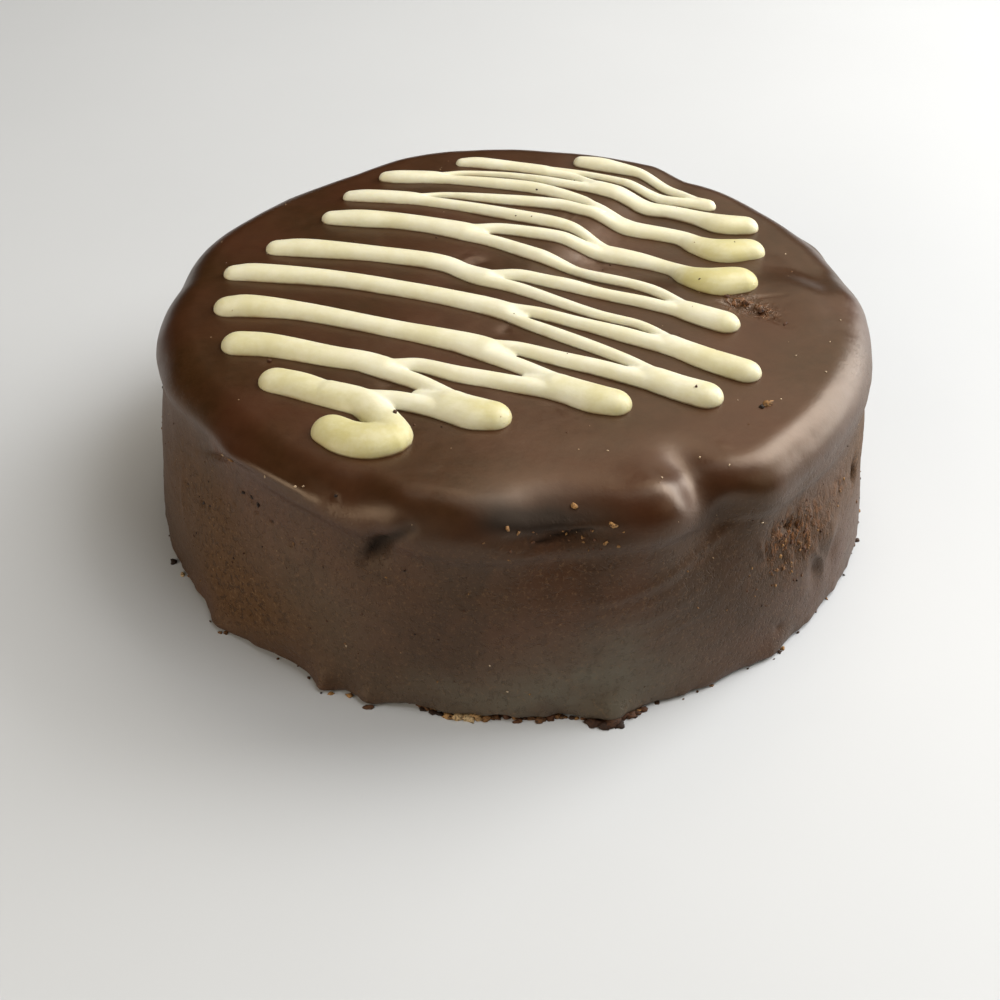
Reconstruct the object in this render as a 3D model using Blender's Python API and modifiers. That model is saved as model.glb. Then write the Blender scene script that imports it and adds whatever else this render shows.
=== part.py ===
"""Round chocolate cake with a zigzag of piped white chocolate.

The cake is one solid: a turned body, made uneven by hand-sized relief, with the beads of the
piped line fused to its top.  Units are metres, +Z is up, and the origin is the centre of the flat underside.
The tables and the sizes below are in millimetres and are scaled by MM.
"""
import math
import random

import bmesh
import bpy
from mathutils import Vector

MM = 0.001

# ---- driving sizes of the body, mm -------------------------------------------------------------
HEIGHT = 63.0            # top of the cake above its underside
RIM_RADIUS = 100.0       # widest part of the coated rim
FOOT_RADIUS = 105.6      # where the coating runs out at the bottom
EDGE_ROUND = 10.4        # rounding between top and side
WAIST_RADIUS = 99.2      # slightly pulled in under the rim
WAIST_HEIGHT = 43.0
WAIST_REACH = 8.0
FOOT_ROUND = 2.0
SECTORS = 90             # facets round the turned body
TOP_ROWS = 11            # rings of facets on the top, round the edge and down the side
EDGE_STEPS = 6
SIDE_ROWS = 11
SPREAD_POWER = 0.8       # the side runs out to the foot in a slight hollow

# ---- relief, mm --------------------------------------------------------------------------------
# A ledge runs across the back right of the top, where the sponge under the coating steps down.
LEDGE_DROP = 3.4
LEDGE_WIDTH = 14.0
LEDGE_FROM = (20.0, 31.0)
LEDGE_TO = (44.0, 72.0)
LEDGE_FADE = (2.0, 24.0)    # fades in between these distances behind the centre
DOME = 0.8                  # how much the middle of the top stands up

# Soft lumps and dents of the top: x, y, reach, height.
TOP_LUMPS = [
    (-14.0, 12.0, 9.0, -0.9),
    (24.0, 22.0, 8.0, -0.8),
    (66.0, -4.0, 9.0, -0.9),
    (-30.0, -84.0, 14.0, 0.6),
    (70.0, 20.0, 18.0, 0.7),
    (-60.0, -20.0, 25.0, 0.5),
    (-65.0, 67.0, 16.0, -1.8),
    (64.0, 74.0, 15.0, 1.4),
    (41.5, -77.0, 6.5, -1.2),
    (44.3, -82.0, 6.5, -1.6),
    (47.0, -86.8, 6.5, -1.7),
    (50.0, -91.5, 6.5, -1.6),
    (32.5, -80.5, 7.0, 0.5),
    (35.0, -86.5, 7.0, 0.9),
    (37.5, -91.4, 7.0, 0.9),
    (-13.0, -95.0, 10.0, 0.7),
    (4.5, -96.0, 8.0, -2.8),
    (14.0, -94.5, 7.0, -2.2),
    (21.0, -93.5, 6.0, -1.2),
    (-27.5, -93.5, 5.0, 0.7),
    (-39.0, -88.5, 5.5, -1.2),
]

# Lumps and dents of the side: angle in degrees, height, reach along, reach up, depth.
SIDE_LUMPS = [
    (-109.4, 48.5, 3.0, 5.0, -1.8),
    (-84.0, 57.0, 13.0, 4.0, -4.0),
    (-82.0, 50.0, 17.0, 7.0, -1.6),
    (-57.5, 53.0, 6.5, 6.0, -2.2),
    (-47.0, 34.0, 10.0, 8.0, -1.2),
    (-37.5, 19.0, 3.5, 7.0, -1.4),
    (-32.0, 18.0, 3.0, 6.0, -1.0),
    (-35.0, 26.0, 6.0, 6.0, 1.2),
    (-23.0, 33.0, 2.5, 4.0, -1.6),
    (-145.0, 38.0, 22.0, 15.0, -1.5),
    (-128.0, 47.0, 11.0, 7.0, -0.9),
    (-12.0, 24.0, 24.0, 14.0, -0.8),
]

# Teeth and gaps of the ragged foot: angle in degrees, reach along, how far it sticks out.
FOOT_TEETH = [
    (-138.0, 6.0, 3.2),
    (-124.0, 7.0, -1.4),
    (-117.5, 3.5, 2.8),
    (-110.0, 3.5, 1.8),
    (-103.0, 5.0, -1.2),
    (-83.0, 4.0, -1.6),
    (-76.0, 6.0, 3.6),
    (-48.0, 6.0, 1.2),
]

# Where the rim stands in or out: angle in degrees, reach in degrees, distance.
RIM_WAVES = [
    (174.0, 6.0, -1.3),
    (190.0, 9.0, 1.5),
    (203.0, 6.0, 1.1),
    (218.0, 8.0, -0.9),
    (147.0, 10.0, -2.3),
    (124.0, 9.0, -2.7),
    (83.0, 5.0, -0.9),
    (50.0, 8.0, 1.0),
    (34.0, 12.0, 1.6),
    (14.0, 36.0, 2.0),
    (-3.0, 9.0, -0.9),
    (-50.0, 5.0, 1.2),
    (-60.5, 5.0, -2.6),
    (-69.5, 5.0, 1.0),
    (-84.0, 6.0, -1.6),
    (-99.0, 8.0, 0.9),
]

SIDE_FADE = (55.0, 62.0)    # the side's lumps fade out between these heights

# The lower edge of the thick coating on the rim hangs in waves round the side.
LIP_HEIGHT = 51.0
LIP_WAVES = [(2.0, 0.4, 2.4), (5.0, 1.0, 2.0)]     # waves in a turn, phase, swing
LIP_PROUD = 1.0
LIP_STEP = 4.0              # height over which the coating thins out
LIP_REACH = 12.0
RIM_WAVE_HEIGHT = 52.0      # the rim's waves fade out below this height
RIM_WAVE_REACH = 16.0
RIM_INSIDE = 60.0           # and within this radius on the top
TOOTH_REACH = 6.0           # how far up the foot's teeth reach

# Lumps and teeth of the side that faces away are drawn at random between these limits.
SEED = 27
HIDDEN_SIDE = (5.0, 165.0)     # degrees
HIDDEN_LUMPS = 16
LUMP_HEIGHTS = (12.0, 56.0)
LUMP_ALONG = (4.0, 10.0)
LUMP_UP = (4.0, 9.0)
LUMP_DEPTHS = (0.7, 2.0)
HIDDEN_TEETH = 9
TOOTH_ALONG = (3.5, 6.5)
TOOTH_STICKS = (-1.6, 2.8)

# ---- the piped line, mm ------------------------------------------------------------------------
# The line is piped to and fro.  At every turn two runs melt into one band, from a round tip to a
# fork, front to back and left and right in turn: x, y, half width.
BANDS = [
    [(-62.6, -45.5, 5.0), (-56.3, -47.8, 4.9), (-48.5, -51.5, 4.7), (-39.5, -54.7, 5.1)],
    [(-6.2, -60.0, 5.4), (-10.5, -59.1, 6.1), (-14.5, -57.1, 6.0), (-18.0, -55.1, 6.0)],
    [(-74.7, -28.5, 5.0), (-66.0, -29.6, 4.6), (-50.0, -34.1, 4.1), (-40.0, -36.5, 4.1), (-34.0, -39.4, 4.2)],
    [(25.2, -53.2, 5.0), (20.8, -51.8, 5.5), (14.5, -48.5, 5.2), (9.5, -46.0, 5.3)],
    [(-80.0, -9.8, 4.6), (-74.0, -9.8, 4.7), (-58.0, -12.7, 3.7), (-34.0, -20.1, 3.6),
     (-15.0, -26.1, 4.3), (-7.5, -29.8, 4.8)],
    [(49.3, -49.0, 4.9), (43.0, -45.9, 4.9), (35.5, -41.5, 4.8)],
    [(-80.9, 8.7, 3.6), (-73.9, 8.6, 4.0), (-50.0, 5.4, 3.5), (-25.0, -1.5, 3.5),
     (-10.2, -6.5, 3.7), (-2.5, -10.1, 3.8)],
    [(61.0, -37.5, 4.4), (52.0, -32.5, 4.4), (44.4, -27.4, 4.1), (40.8, -25.0, 4.2)],
    [(-70.4, 23.4, 3.7), (-62.0, 23.1, 4.1), (-42.0, 20.4, 3.6), (-22.3, 16.4, 3.5),
     (-15.0, 12.5, 3.5), (-8.6, 8.4, 4.0)],
    [(57.8, -13.5, 4.5), (51.3, -10.0, 4.3), (46.5, -7.1, 3.9)],
    [(-56.0, 42.3, 3.5), (-47.7, 41.6, 4.1), (-35.4, 40.3, 3.8), (-23.2, 37.2, 3.9), (-14.5, 34.1, 4.3)],
    [(63.2, 9.8, 6.7), (57.0, 8.8, 7.0), (51.5, 12.0, 5.7), (46.6, 18.6, 3.6),
     (36.8, 25.0, 3.5), (27.0, 29.3, 3.6)],
    [(-51.6, 57.5, 2.8), (-46.0, 56.8, 3.2), (-31.5, 55.0, 3.2)],
    [(69.6, 31.6, 5.2), (61.5, 30.6, 5.7), (55.2, 34.0, 4.4), (49.8, 39.0, 3.4),
     (38.0, 43.1, 3.6), (32.5, 45.3, 3.7)],
    [(-41.3, 70.1, 2.7), (-37.2, 69.7, 3.2), (-25.5, 69.4, 3.2)],
    [(70.4, 47.4, 4.3), (63.2, 48.0, 4.6), (56.3, 51.7, 3.4), (48.0, 55.5, 3.0),
     (38.6, 58.1, 3.3), (25.0, 64.8, 3.4)],
    [(-17.6, 80.4, 2.3), (-12.0, 80.2, 2.7), (1.0, 77.7, 2.5), (9.5, 75.4, 2.7)],
    [(60.2, 59.6, 2.5), (56.5, 61.1, 2.8)],
]
# The runs between the forks of neighbouring bands, each from left to right.
RUNS = [
    [(-29.8, -53.8, 3.2)],
    [(-25.6, -45.3, 2.8)],
    [(-25.5, -37.5, 2.5), (-14.7, -41.6, 3.0), (-1.0, -45.4, 3.1)],
    [(1.1, -37.4, 2.8)],
    [(1.1, -29.1, 2.6), (11.8, -33.5, 2.8), (24.0, -38.1, 3.0)],
    [(1.5, -15.1, 2.0), (12.0, -21.8, 2.3), (27.9, -32.0, 2.1)],
    [(6.6, -10.9, 2.3), (17.6, -15.7, 2.4), (30.0, -21.3, 2.9)],
    [(0.5, 2.3, 2.3), (12.3, -4.9, 2.0), (23.3, -11.2, 1.8), (34.2, -15.8, 1.7)],
    [(1.0, 9.5, 2.4), (12.5, 5.5, 2.9), (23.8, 0.4, 2.3), (36.0, -4.0, 2.4)],
    [(-5.5, 28.1, 2.5), (6.9, 21.0, 2.7), (16.0, 17.3, 2.4), (24.3, 11.2, 2.5), (39.0, 2.7, 2.0)],
    [(-5.0, 36.6, 2.3), (7.0, 34.1, 2.5), (17.0, 30.9, 2.5)],
    [(-17.5, 50.6, 2.3), (-5.1, 46.8, 2.5), (11.0, 41.4, 2.5), (19.2, 36.7, 2.1)],
    [(-22.0, 57.9, 1.3), (-5.2, 55.5, 2.2), (12.0, 53.0, 2.4), (19.5, 49.9, 2.4)],
    [(-18.0, 67.7, 2.1), (-5.3, 65.8, 2.5), (7.3, 62.7, 2.6), (19.7, 56.3, 2.1), (24.6, 51.7, 1.9)],
    [(-17.0, 72.8, 1.3), (-5.4, 72.4, 1.3), (4.0, 70.5, 1.6), (14.0, 67.1, 2.0)],
    [(17.0, 72.1, 1.6)],
    [(17.5, 74.9, 1.4), (26.5, 72.1, 1.4), (39.0, 66.3, 1.9), (47.0, 63.1, 2.0)],
]
# The first run starts at a round end and hooks up to the first band, and the last run ends round.
HOOK = [
    (-46.0, -67.1, 5.6), (-41.5, -70.3, 6.1), (-36.0, -71.6, 6.5), (-31.2, -69.3, 5.9), (-33.6, -62.5, 4.9),
]
END = [
    (51.5, 66.9, 1.7), (45.8, 70.9, 2.0), (39.5, 74.9, 2.2), (33.2, 77.9, 2.8), (26.9, 80.4, 3.3),
    (20.8, 82.1, 2.7),
]
BEAD_HEIGHT = 2.9           # of a bead of the usual half width
BEAD_HALF_WIDTH = 3.3
BEAD_POWER = 0.7            # a wider bead is higher, but less so than it is wide
FORK_LOW = 0.22             # how much lower a band is at its fork than at its tip, as a share
LEFT_TIP_LOW = 0.2          # how much lower the left tips are than the rest of their bands
POINT_SPACING = 6.6         # along a bead
HOOK_SPACING = 3.4          # round the hook that the line starts with
ROUND_ENDS = (0.72, 0.95)   # where rings round a bead's end off, in half widths past the end
TUBE_SIDES = 2              # bevel resolution: eight sides
WELD = 0.01                 # closer points are one


def smooth_step(t):
    t = min(max(t, 0.0), 1.0)
    return t * t * (3.0 - 2.0 * t)


def bell(distance, reach):
    return math.exp(-((distance / reach) ** 2))


def turn_between(a, b):
    """Signed angle from b to a in degrees, between -180 and 180."""
    return (a - b + 180.0) % 360.0 - 180.0


def fade_in(y, limits):
    return smooth_step((y - limits[0]) / (limits[1] - limits[0]))


def down_ledge(x, y):
    """Share of the way down the ledge: 0 on its left, 1 on its right."""
    run = Vector(LEDGE_TO) - Vector(LEDGE_FROM)
    side = ((x - LEDGE_FROM[0]) * run.y - (y - LEDGE_FROM[1]) * run.x) / run.length
    return smooth_step(side / LEDGE_WIDTH + 0.5)


def top_relief(x, y):
    """How much the top stands above (or below) HEIGHT at a point, mm."""
    radius = math.hypot(x, y)
    dome = DOME * (1.0 - (radius / RIM_RADIUS) ** 2)
    step = LEDGE_DROP * down_ledge(x, y) * fade_in(y, LEDGE_FADE)
    lumps = sum(h * bell(math.hypot(x - lx, y - ly), reach) for lx, ly, reach, h in TOP_LUMPS)
    return dome - step + lumps


def lip_height(angle):
    """Height of the thick coating's lower edge, mm."""
    waves = sum(up * math.sin(turns * math.radians(angle) + phase) for turns, phase, up in LIP_WAVES)
    return LIP_HEIGHT + waves


def hidden_features():
    """Lumps and foot teeth for the side that faces away, drawn with a fixed seed."""
    draw = random.Random(SEED)
    lumps = []
    for _ in range(HIDDEN_LUMPS):
        angle = draw.uniform(*HIDDEN_SIDE)
        height = draw.uniform(*LUMP_HEIGHTS)
        depth = draw.choice((-1.0, 1.0)) * draw.uniform(*LUMP_DEPTHS)
        lumps.append((angle, height, draw.uniform(*LUMP_ALONG), draw.uniform(*LUMP_UP), depth))
    teeth = []
    for _ in range(HIDDEN_TEETH):
        angle = draw.uniform(*HIDDEN_SIDE)
        teeth.append((angle, draw.uniform(*TOOTH_ALONG), draw.uniform(*TOOTH_STICKS)))
    return lumps, teeth


def side_relief(angle, z, lumps, teeth):
    """How far the side stands out of the turned form, mm."""
    out = 0.0
    for centre, height, along, up, depth in lumps:
        arc = math.radians(turn_between(angle, centre)) * RIM_RADIUS
        out += depth * bell(arc, along) * bell(z - height, up)
    for centre, along, stick in teeth:
        arc = math.radians(turn_between(angle, centre)) * FOOT_RADIUS
        out += stick * bell(arc, along) * bell(z, TOOTH_REACH)
    over = z - lip_height(angle)
    out += LIP_PROUD * (smooth_step(over / LIP_STEP + 0.5) - 0.5) * bell(over, LIP_REACH)
    return out


def rim_shift(angle, z):
    """How far the whole rim stands out of the turned form, mm."""
    shift = sum(out * bell(turn_between(angle, centre), reach) for centre, reach, out in RIM_WAVES)
    return shift * bell(min(z - RIM_WAVE_HEIGHT, 0.0), RIM_WAVE_REACH)


def body_profile():
    """Radius and height of the turned body from the top's centre down to the underside's, mm."""
    flat_edge = RIM_RADIUS - EDGE_ROUND
    edge_base = HEIGHT - EDGE_ROUND
    points = [(flat_edge * i / TOP_ROWS, HEIGHT) for i in range(TOP_ROWS)]
    for i in range(EDGE_STEPS + 1):
        a = 0.5 * math.pi * (1.0 - i / EDGE_STEPS)
        points.append((flat_edge + EDGE_ROUND * math.cos(a), edge_base + EDGE_ROUND * math.sin(a)))
    for i in range(1, SIDE_ROWS + 1):
        z = edge_base + (FOOT_ROUND - edge_base) * i / SIDE_ROWS
        waist = (RIM_RADIUS - WAIST_RADIUS) * bell(z - WAIST_HEIGHT, WAIST_REACH)
        spread = (FOOT_RADIUS - RIM_RADIUS) * (1.0 - z / edge_base) ** SPREAD_POWER
        points.append((RIM_RADIUS + spread - waist, z))
    points += [(FOOT_RADIUS - 0.3 * FOOT_ROUND, 0.0), (0.5 * FOOT_RADIUS, 0.0), (0.0, 0.0)]
    return points


def uneven(point, lumps, teeth):
    """Moves a point of the turned body (mm) to its place on the real, uneven cake."""
    x, y, z = point
    radius = math.hypot(x, y)
    angle = math.degrees(math.atan2(y, x))
    on_top = smooth_step((z - HEIGHT + 2.0 * EDGE_ROUND) / (2.0 * EDGE_ROUND))
    on_side = 1.0 - fade_in(z, SIDE_FADE)
    stretch = 1.0
    if radius > 0.0:
        outwards = side_relief(angle, z, lumps, teeth) * on_side * min(radius / RIM_RADIUS, 1.0)
        outwards += rim_shift(angle, z) * smooth_step((radius - RIM_INSIDE) / (RIM_RADIUS - RIM_INSIDE))
        stretch = (radius + outwards) / radius
    return Vector((x * stretch, y * stretch, z + top_relief(x, y) * on_top))


def material(name, colour, roughness):
    mat = bpy.data.materials.new(name)
    mat.use_nodes = True
    shader = mat.node_tree.nodes["Principled BSDF"]
    shader.inputs["Base Color"].default_value = (*colour, 1.0)
    shader.inputs["Roughness"].default_value = roughness
    shader.inputs["Metallic"].default_value = 0.0
    mat.diffuse_color = (*colour, 1.0)
    return mat


def evaluated_mesh(obj):
    """The object's mesh as its modifiers or its curve settings make it."""
    bpy.context.view_layer.update()
    graph = bpy.context.evaluated_depsgraph_get()
    return bpy.data.meshes.new_from_object(obj.evaluated_get(graph))


def make_body(collection, chocolate):
    """The turned body, moved to its uneven form."""
    profile = bpy.data.meshes.new("cake_profile")
    points = [(r * MM, 0.0, z * MM) for r, z in body_profile()]
    profile.from_pydata(points, [(i, i + 1) for i in range(len(points) - 1)], [])
    turned = bpy.data.objects.new("cake_turned", profile)
    collection.objects.link(turned)
    screw = turned.modifiers.new("Turn", "SCREW")
    screw.axis = "Z"
    screw.angle = 2.0 * math.pi
    screw.steps = SECTORS
    screw.render_steps = SECTORS
    screw.use_merge_vertices = True
    screw.merge_threshold = WELD * MM
    mesh = evaluated_mesh(turned)
    mesh.name = "cake"
    bpy.data.objects.remove(turned)
    lumps, teeth = hidden_features()
    lumps = SIDE_LUMPS + lumps
    teeth = FOOT_TEETH + teeth
    for vertex in mesh.vertices:
        vertex.co = uneven(vertex.co / MM, lumps, teeth) * MM
    mesh.materials.clear()
    mesh.materials.append(chocolate)
    body = bpy.data.objects.new("cake", mesh)
    collection.objects.link(body)
    return body


def spline_points(knots, spacing):
    """A smooth curve through the knots (x, y, half width, height of the axis above the top)."""
    ends = [2.0 * knots[0] - knots[1], *knots, 2.0 * knots[-1] - knots[-2]]
    points = []
    for i in range(1, len(ends) - 2):
        p0, p1, p2, p3 = ends[i - 1:i + 3]
        steps = max(1, round((p2 - p1).xy.length / spacing))
        for k in range(steps):
            t = k / steps
            points.append(
                0.5 * (2.0 * p1 + (p2 - p0) * t + (2.0 * p0 - 5.0 * p1 + 4.0 * p2 - p3) * t ** 2
                       + (3.0 * p1 - p0 - 3.0 * p2 + p3) * t ** 3))
    points.append(ends[-2])
    return points


def beside(band, side, half):
    """Two places of a run where it lies within a band: side is -1 in front and +1 behind."""
    along = (Vector(band[-1][:2]) - Vector(band[-2][:2])).normalized()
    behind = Vector((-along.y, along.x)) * math.copysign(1.0, along.x)
    places = []
    for x, y, band_half in band[-2:]:
        place = Vector((x, y)) + side * (band_half - half) * behind
        places.append((place.x, place.y, half))
    return places


def bead_knot(x, y, half, low=0.0):
    """A knot of a bead that stands its own height above the top, less a share of it."""
    height = BEAD_HEIGHT * (half * (1.0 - low) / BEAD_HALF_WIDTH) ** BEAD_POWER
    return Vector((x, y, half, height - half))


def runs():
    """The knots of every run, front to back, with both ends within a band."""
    lines = [HOOK + beside(BANDS[0], -1.0, HOOK[-1][2])[::-1]]
    for number, (here, there, places) in enumerate(zip(BANDS, BANDS[1:], RUNS)):
        if number % 2 == 1:
            places = places[::-1]
        start = beside(here, 1.0, places[0][2])
        finish = beside(there, -1.0, places[-1][2])[::-1]
        lines.append(start + places + finish)
    lines.append(beside(BANDS[-1], 1.0, END[0][2]) + END)
    return [[bead_knot(*place) for place in line] for line in lines]


def bands():
    """The knots of every band, which sinks to its fork."""
    lines = []
    for number, band in enumerate(BANDS):
        lows = [FORK_LOW * i / (len(band) - 1) for i in range(len(band))]
        if number % 2 == 0:
            lows[0] = LEFT_TIP_LOW
        lines.append([bead_knot(*place, low) for place, low in zip(band, lows)])
    return lines


def round_end(tip, inner):
    """Points past a bead's tip, with shrinking half widths, that round it off."""
    along = (tip - inner).xy.normalized()
    for share in ROUND_ENDS:
        place = tip.xy + along * (tip.z * share)
        yield Vector((place.x, place.y, tip.z * math.sqrt(1.0 - share ** 2), tip.w))


def make_bead(name, knots, spacing, collection, white):
    """One bead of the piped line as a tube along its knots, with rounded ends."""
    line = spline_points(knots, spacing)
    head = list(round_end(line[0], line[1]))[::-1]
    line = head + line + list(round_end(line[-1], line[-2]))
    curve = bpy.data.curves.new(name, "CURVE")
    curve.dimensions = "3D"
    curve.bevel_depth = MM
    curve.bevel_resolution = TUBE_SIDES
    curve.use_fill_caps = True
    curve.twist_mode = "Z_UP"
    spline = curve.splines.new("POLY")
    spline.points.add(len(line) - 1)
    for (x, y, half, axis), spot in zip(line, spline.points):
        z = HEIGHT + top_relief(x, y) + axis
        spot.co = (x * MM, y * MM, z * MM, 1.0)
        spot.radius = half
    tube = bpy.data.objects.new(name + "_curve", curve)
    collection.objects.link(tube)
    mesh = evaluated_mesh(tube)
    bpy.data.objects.remove(tube)
    bm = bmesh.new()
    bm.from_mesh(mesh)
    bmesh.ops.remove_doubles(bm, verts=bm.verts, dist=WELD * MM)
    bmesh.ops.recalc_face_normals(bm, faces=bm.faces)
    bm.to_mesh(mesh)
    bm.free()
    mesh.materials.clear()
    mesh.materials.append(white)
    bead = bpy.data.objects.new(name, mesh)
    bead.hide_render = True
    bead.display_type = "WIRE"
    collection.objects.link(bead)


def fuse(body, bead_collection):
    """Joins the beads to the body by one union, and applies it."""
    union = body.modifiers.new("Fuse", "BOOLEAN")
    union.operation = "UNION"
    union.operand_type = "COLLECTION"
    union.collection = bead_collection
    union.solver = "EXACT"
    union.material_mode = "TRANSFER"
    mesh = evaluated_mesh(body)
    body.modifiers.clear()
    body.data = mesh
    mesh.name = "cake"
    for obj in list(bead_collection.objects):
        bpy.data.objects.remove(obj)
    bpy.data.collections.remove(bead_collection)


def keep_outer_shell(mesh):
    """Drops what fusing left over: sealed hollows and loose scraps."""
    bm = bmesh.new()
    bm.from_mesh(mesh)
    unseen = set(bm.verts)
    shells = []
    while unseen:
        seed = unseen.pop()
        shell = {seed}
        to_visit = [seed]
        while to_visit:
            vertex = to_visit.pop()
            for edge in vertex.link_edges:
                other = edge.other_vert(vertex)
                if other not in shell:
                    shell.add(other)
                    to_visit.append(other)
        unseen -= shell
        shells.append(shell)
    shells.sort(key=len)
    for shell in shells[:-1]:
        bmesh.ops.delete(bm, geom=list(shell), context="VERTS")
    bmesh.ops.triangulate(bm, faces=bm.faces)
    bm.to_mesh(mesh)
    bm.free()


def main():
    for obj in list(bpy.data.objects):
        bpy.data.objects.remove(obj)
    cake_collection = bpy.data.collections.new("chocolate_cake")
    bpy.context.scene.collection.children.link(cake_collection)
    bead_collection = bpy.data.collections.new("piped_beads")
    bpy.context.scene.collection.children.link(bead_collection)
    chocolate = material("milk_chocolate", (0.105, 0.045, 0.028), 0.42)
    white = material("white_chocolate", (0.72, 0.64, 0.40), 0.40)
    body = make_body(cake_collection, chocolate)
    for i, knots in enumerate(runs() + bands()):
        spacing = HOOK_SPACING if i == 0 else POINT_SPACING
        make_bead(f"bead_{i:02d}", knots, spacing, bead_collection, white)
    fuse(body, bead_collection)
    keep_outer_shell(body.data)


main()
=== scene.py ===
"""Chocolate cake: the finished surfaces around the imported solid.

The coat of milk chocolate, the piped white chocolate, the crumbs and the specks are meshes made
here from the same named sizes as the solid, with the finer relief that it leaves out.  Blender's
units are metres; the tables and sizes below are in millimetres and are scaled by MM.
"""
import math
import random

import bmesh
import bpy
import numpy as np
from mathutils import Matrix, Vector, kdtree, noise
from mathutils.bvhtree import BVHTree

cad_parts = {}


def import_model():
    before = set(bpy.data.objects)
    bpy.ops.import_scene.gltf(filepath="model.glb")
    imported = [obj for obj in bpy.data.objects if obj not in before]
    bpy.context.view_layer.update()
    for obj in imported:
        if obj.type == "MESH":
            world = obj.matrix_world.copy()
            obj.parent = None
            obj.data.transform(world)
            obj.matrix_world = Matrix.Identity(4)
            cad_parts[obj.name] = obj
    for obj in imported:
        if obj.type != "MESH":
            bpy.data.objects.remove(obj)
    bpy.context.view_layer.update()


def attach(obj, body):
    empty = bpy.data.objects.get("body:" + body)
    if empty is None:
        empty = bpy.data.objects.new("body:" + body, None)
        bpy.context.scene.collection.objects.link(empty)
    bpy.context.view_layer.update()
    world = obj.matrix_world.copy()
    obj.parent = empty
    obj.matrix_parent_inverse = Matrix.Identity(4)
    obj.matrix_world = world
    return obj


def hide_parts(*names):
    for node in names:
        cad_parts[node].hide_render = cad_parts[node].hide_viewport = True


MM = 0.001

# ---- the turned body, mm (as in the solid) ----
HEIGHT = 63.0
RIM_RADIUS = 100.0
FOOT_RADIUS = 105.6
EDGE_ROUND = 10.4
WAIST_RADIUS = 99.2
WAIST_HEIGHT = 43.0
WAIST_REACH = 8.0
FOOT_ROUND = 2.0
SPREAD_POWER = 0.8

# ---- large relief, mm (as in the solid) ----
LEDGE_DROP = 3.4
LEDGE_WIDTH = 14.0
LEDGE_FROM = (20.0, 31.0)
LEDGE_TO = (44.0, 72.0)
LEDGE_FADE = (2.0, 24.0)
DOME = 0.8

# Soft lumps and dents of the top: x, y, reach, height.
TOP_LUMPS = [
    (-14, 12, 9, -0.9), (24, 22, 8, -0.8), (66, -4, 9, -0.9), (-30, -84, 14, 0.6), (70, 20, 18, 0.7),
    (-60, -20, 25, 0.5), (-65, 67, 16, -1.8), (64, 74, 15, 1.4), (41.5, -77, 6.5, -1.2),
    (44.3, -82, 6.5, -1.6), (47, -86.8, 6.5, -1.7), (50, -91.5, 6.5, -1.6), (32.5, -80.5, 7, 0.5),
    (35, -86.5, 7, 0.9), (37.5, -91.4, 7, 0.9), (-13, -95, 10, 0.7), (4.5, -96, 8, -2.8),
    (14, -94.5, 7, -2.2), (21, -93.5, 6, -1.2), (-27.5, -93.5, 5, 0.7), (-39, -88.5, 5.5, -1.2),
]

# Lumps and dents of the side: angle in degrees, height, reach along, reach up, depth.
SIDE_LUMPS = [
    (-109.4, 48.5, 3, 5, -1.8), (-84, 57, 13, 4, -4), (-82, 50, 17, 7, -1.6), (-57.5, 53, 6.5, 6, -2.2),
    (-47, 34, 10, 8, -1.2), (-37.5, 19, 3.5, 7, -1.4), (-32, 18, 3, 6, -1), (-35, 26, 6, 6, 1.2),
    (-23, 33, 2.5, 4, -1.6), (-145, 38, 22, 15, -1.5), (-128, 47, 11, 7, -0.9), (-12, 24, 24, 14, -0.8),
]

# Teeth and gaps of the ragged foot: angle in degrees, reach along, how far it sticks out.
FOOT_TEETH = [
    (-138, 6, 3.2), (-124, 7, -1.4), (-117.5, 3.5, 2.8), (-110, 3.5, 1.8), (-103, 5, -1.2),
    (-83, 4, -1.6), (-76, 6, 3.6), (-48, 6, 1.2),
]

# Where the rim stands in or out: angle in degrees, reach in degrees, distance.
RIM_WAVES = [
    (174, 6, -1.3), (190, 9, 1.5), (203, 6, 1.1), (218, 8, -0.9), (147, 10, -2.3), (124, 9, -2.7),
    (83, 5, -0.9), (50, 8, 1), (34, 12, 1.6), (14, 36, 2), (-3, 9, -0.9), (-50, 5, 1.2),
    (-60.5, 5, -2.6), (-69.5, 5, 1), (-84, 6, -1.6), (-99, 8, 0.9),
]
SIDE_FADE = (55.0, 62.0)    # the side's lumps fade out between these heights
LIP_HEIGHT = 51.0
LIP_WAVES = [(2.0, 0.4, 2.4), (5.0, 1.0, 2.0)]
LIP_PROUD = 1.0
LIP_STEP = 4.0
LIP_REACH = 12.0
RIM_WAVE_HEIGHT = 52.0
RIM_WAVE_REACH = 16.0
RIM_INSIDE = 60.0
TOOTH_REACH = 6.0

SEED = 27                   # of the lumps and teeth that face away
HIDDEN_SIDE = (5.0, 165.0)
HIDDEN_LUMPS = 16
LUMP_HEIGHTS = (12.0, 56.0)
LUMP_ALONG = (4.0, 10.0)
LUMP_UP = (4.0, 9.0)
LUMP_DEPTHS = (0.7, 2.0)
HIDDEN_TEETH = 9
TOOTH_ALONG = (3.5, 6.5)
TOOTH_STICKS = (-1.6, 2.8)

# ---- the coat's grid ----
SECTORS = 640               # round the edge and the side
INNER_RINGS = [             # radius, number of points, of the rings where the grid gets coarser
    (3, 20), (6.5, 40), (14, 80), (29, 160), (58, 320),
]
TOP_SPACING = 1.3           # between the rings of the top
EDGE_SPACING = 0.9
SIDE_SPACING = 0.86

# ---- fine relief of the coat, mm ----
# Slow and quick swells of the poured coat: size, height.
SWELLS = [(26.0, 0.32), (11.0, 0.13), (4.6, 0.035)]
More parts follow.
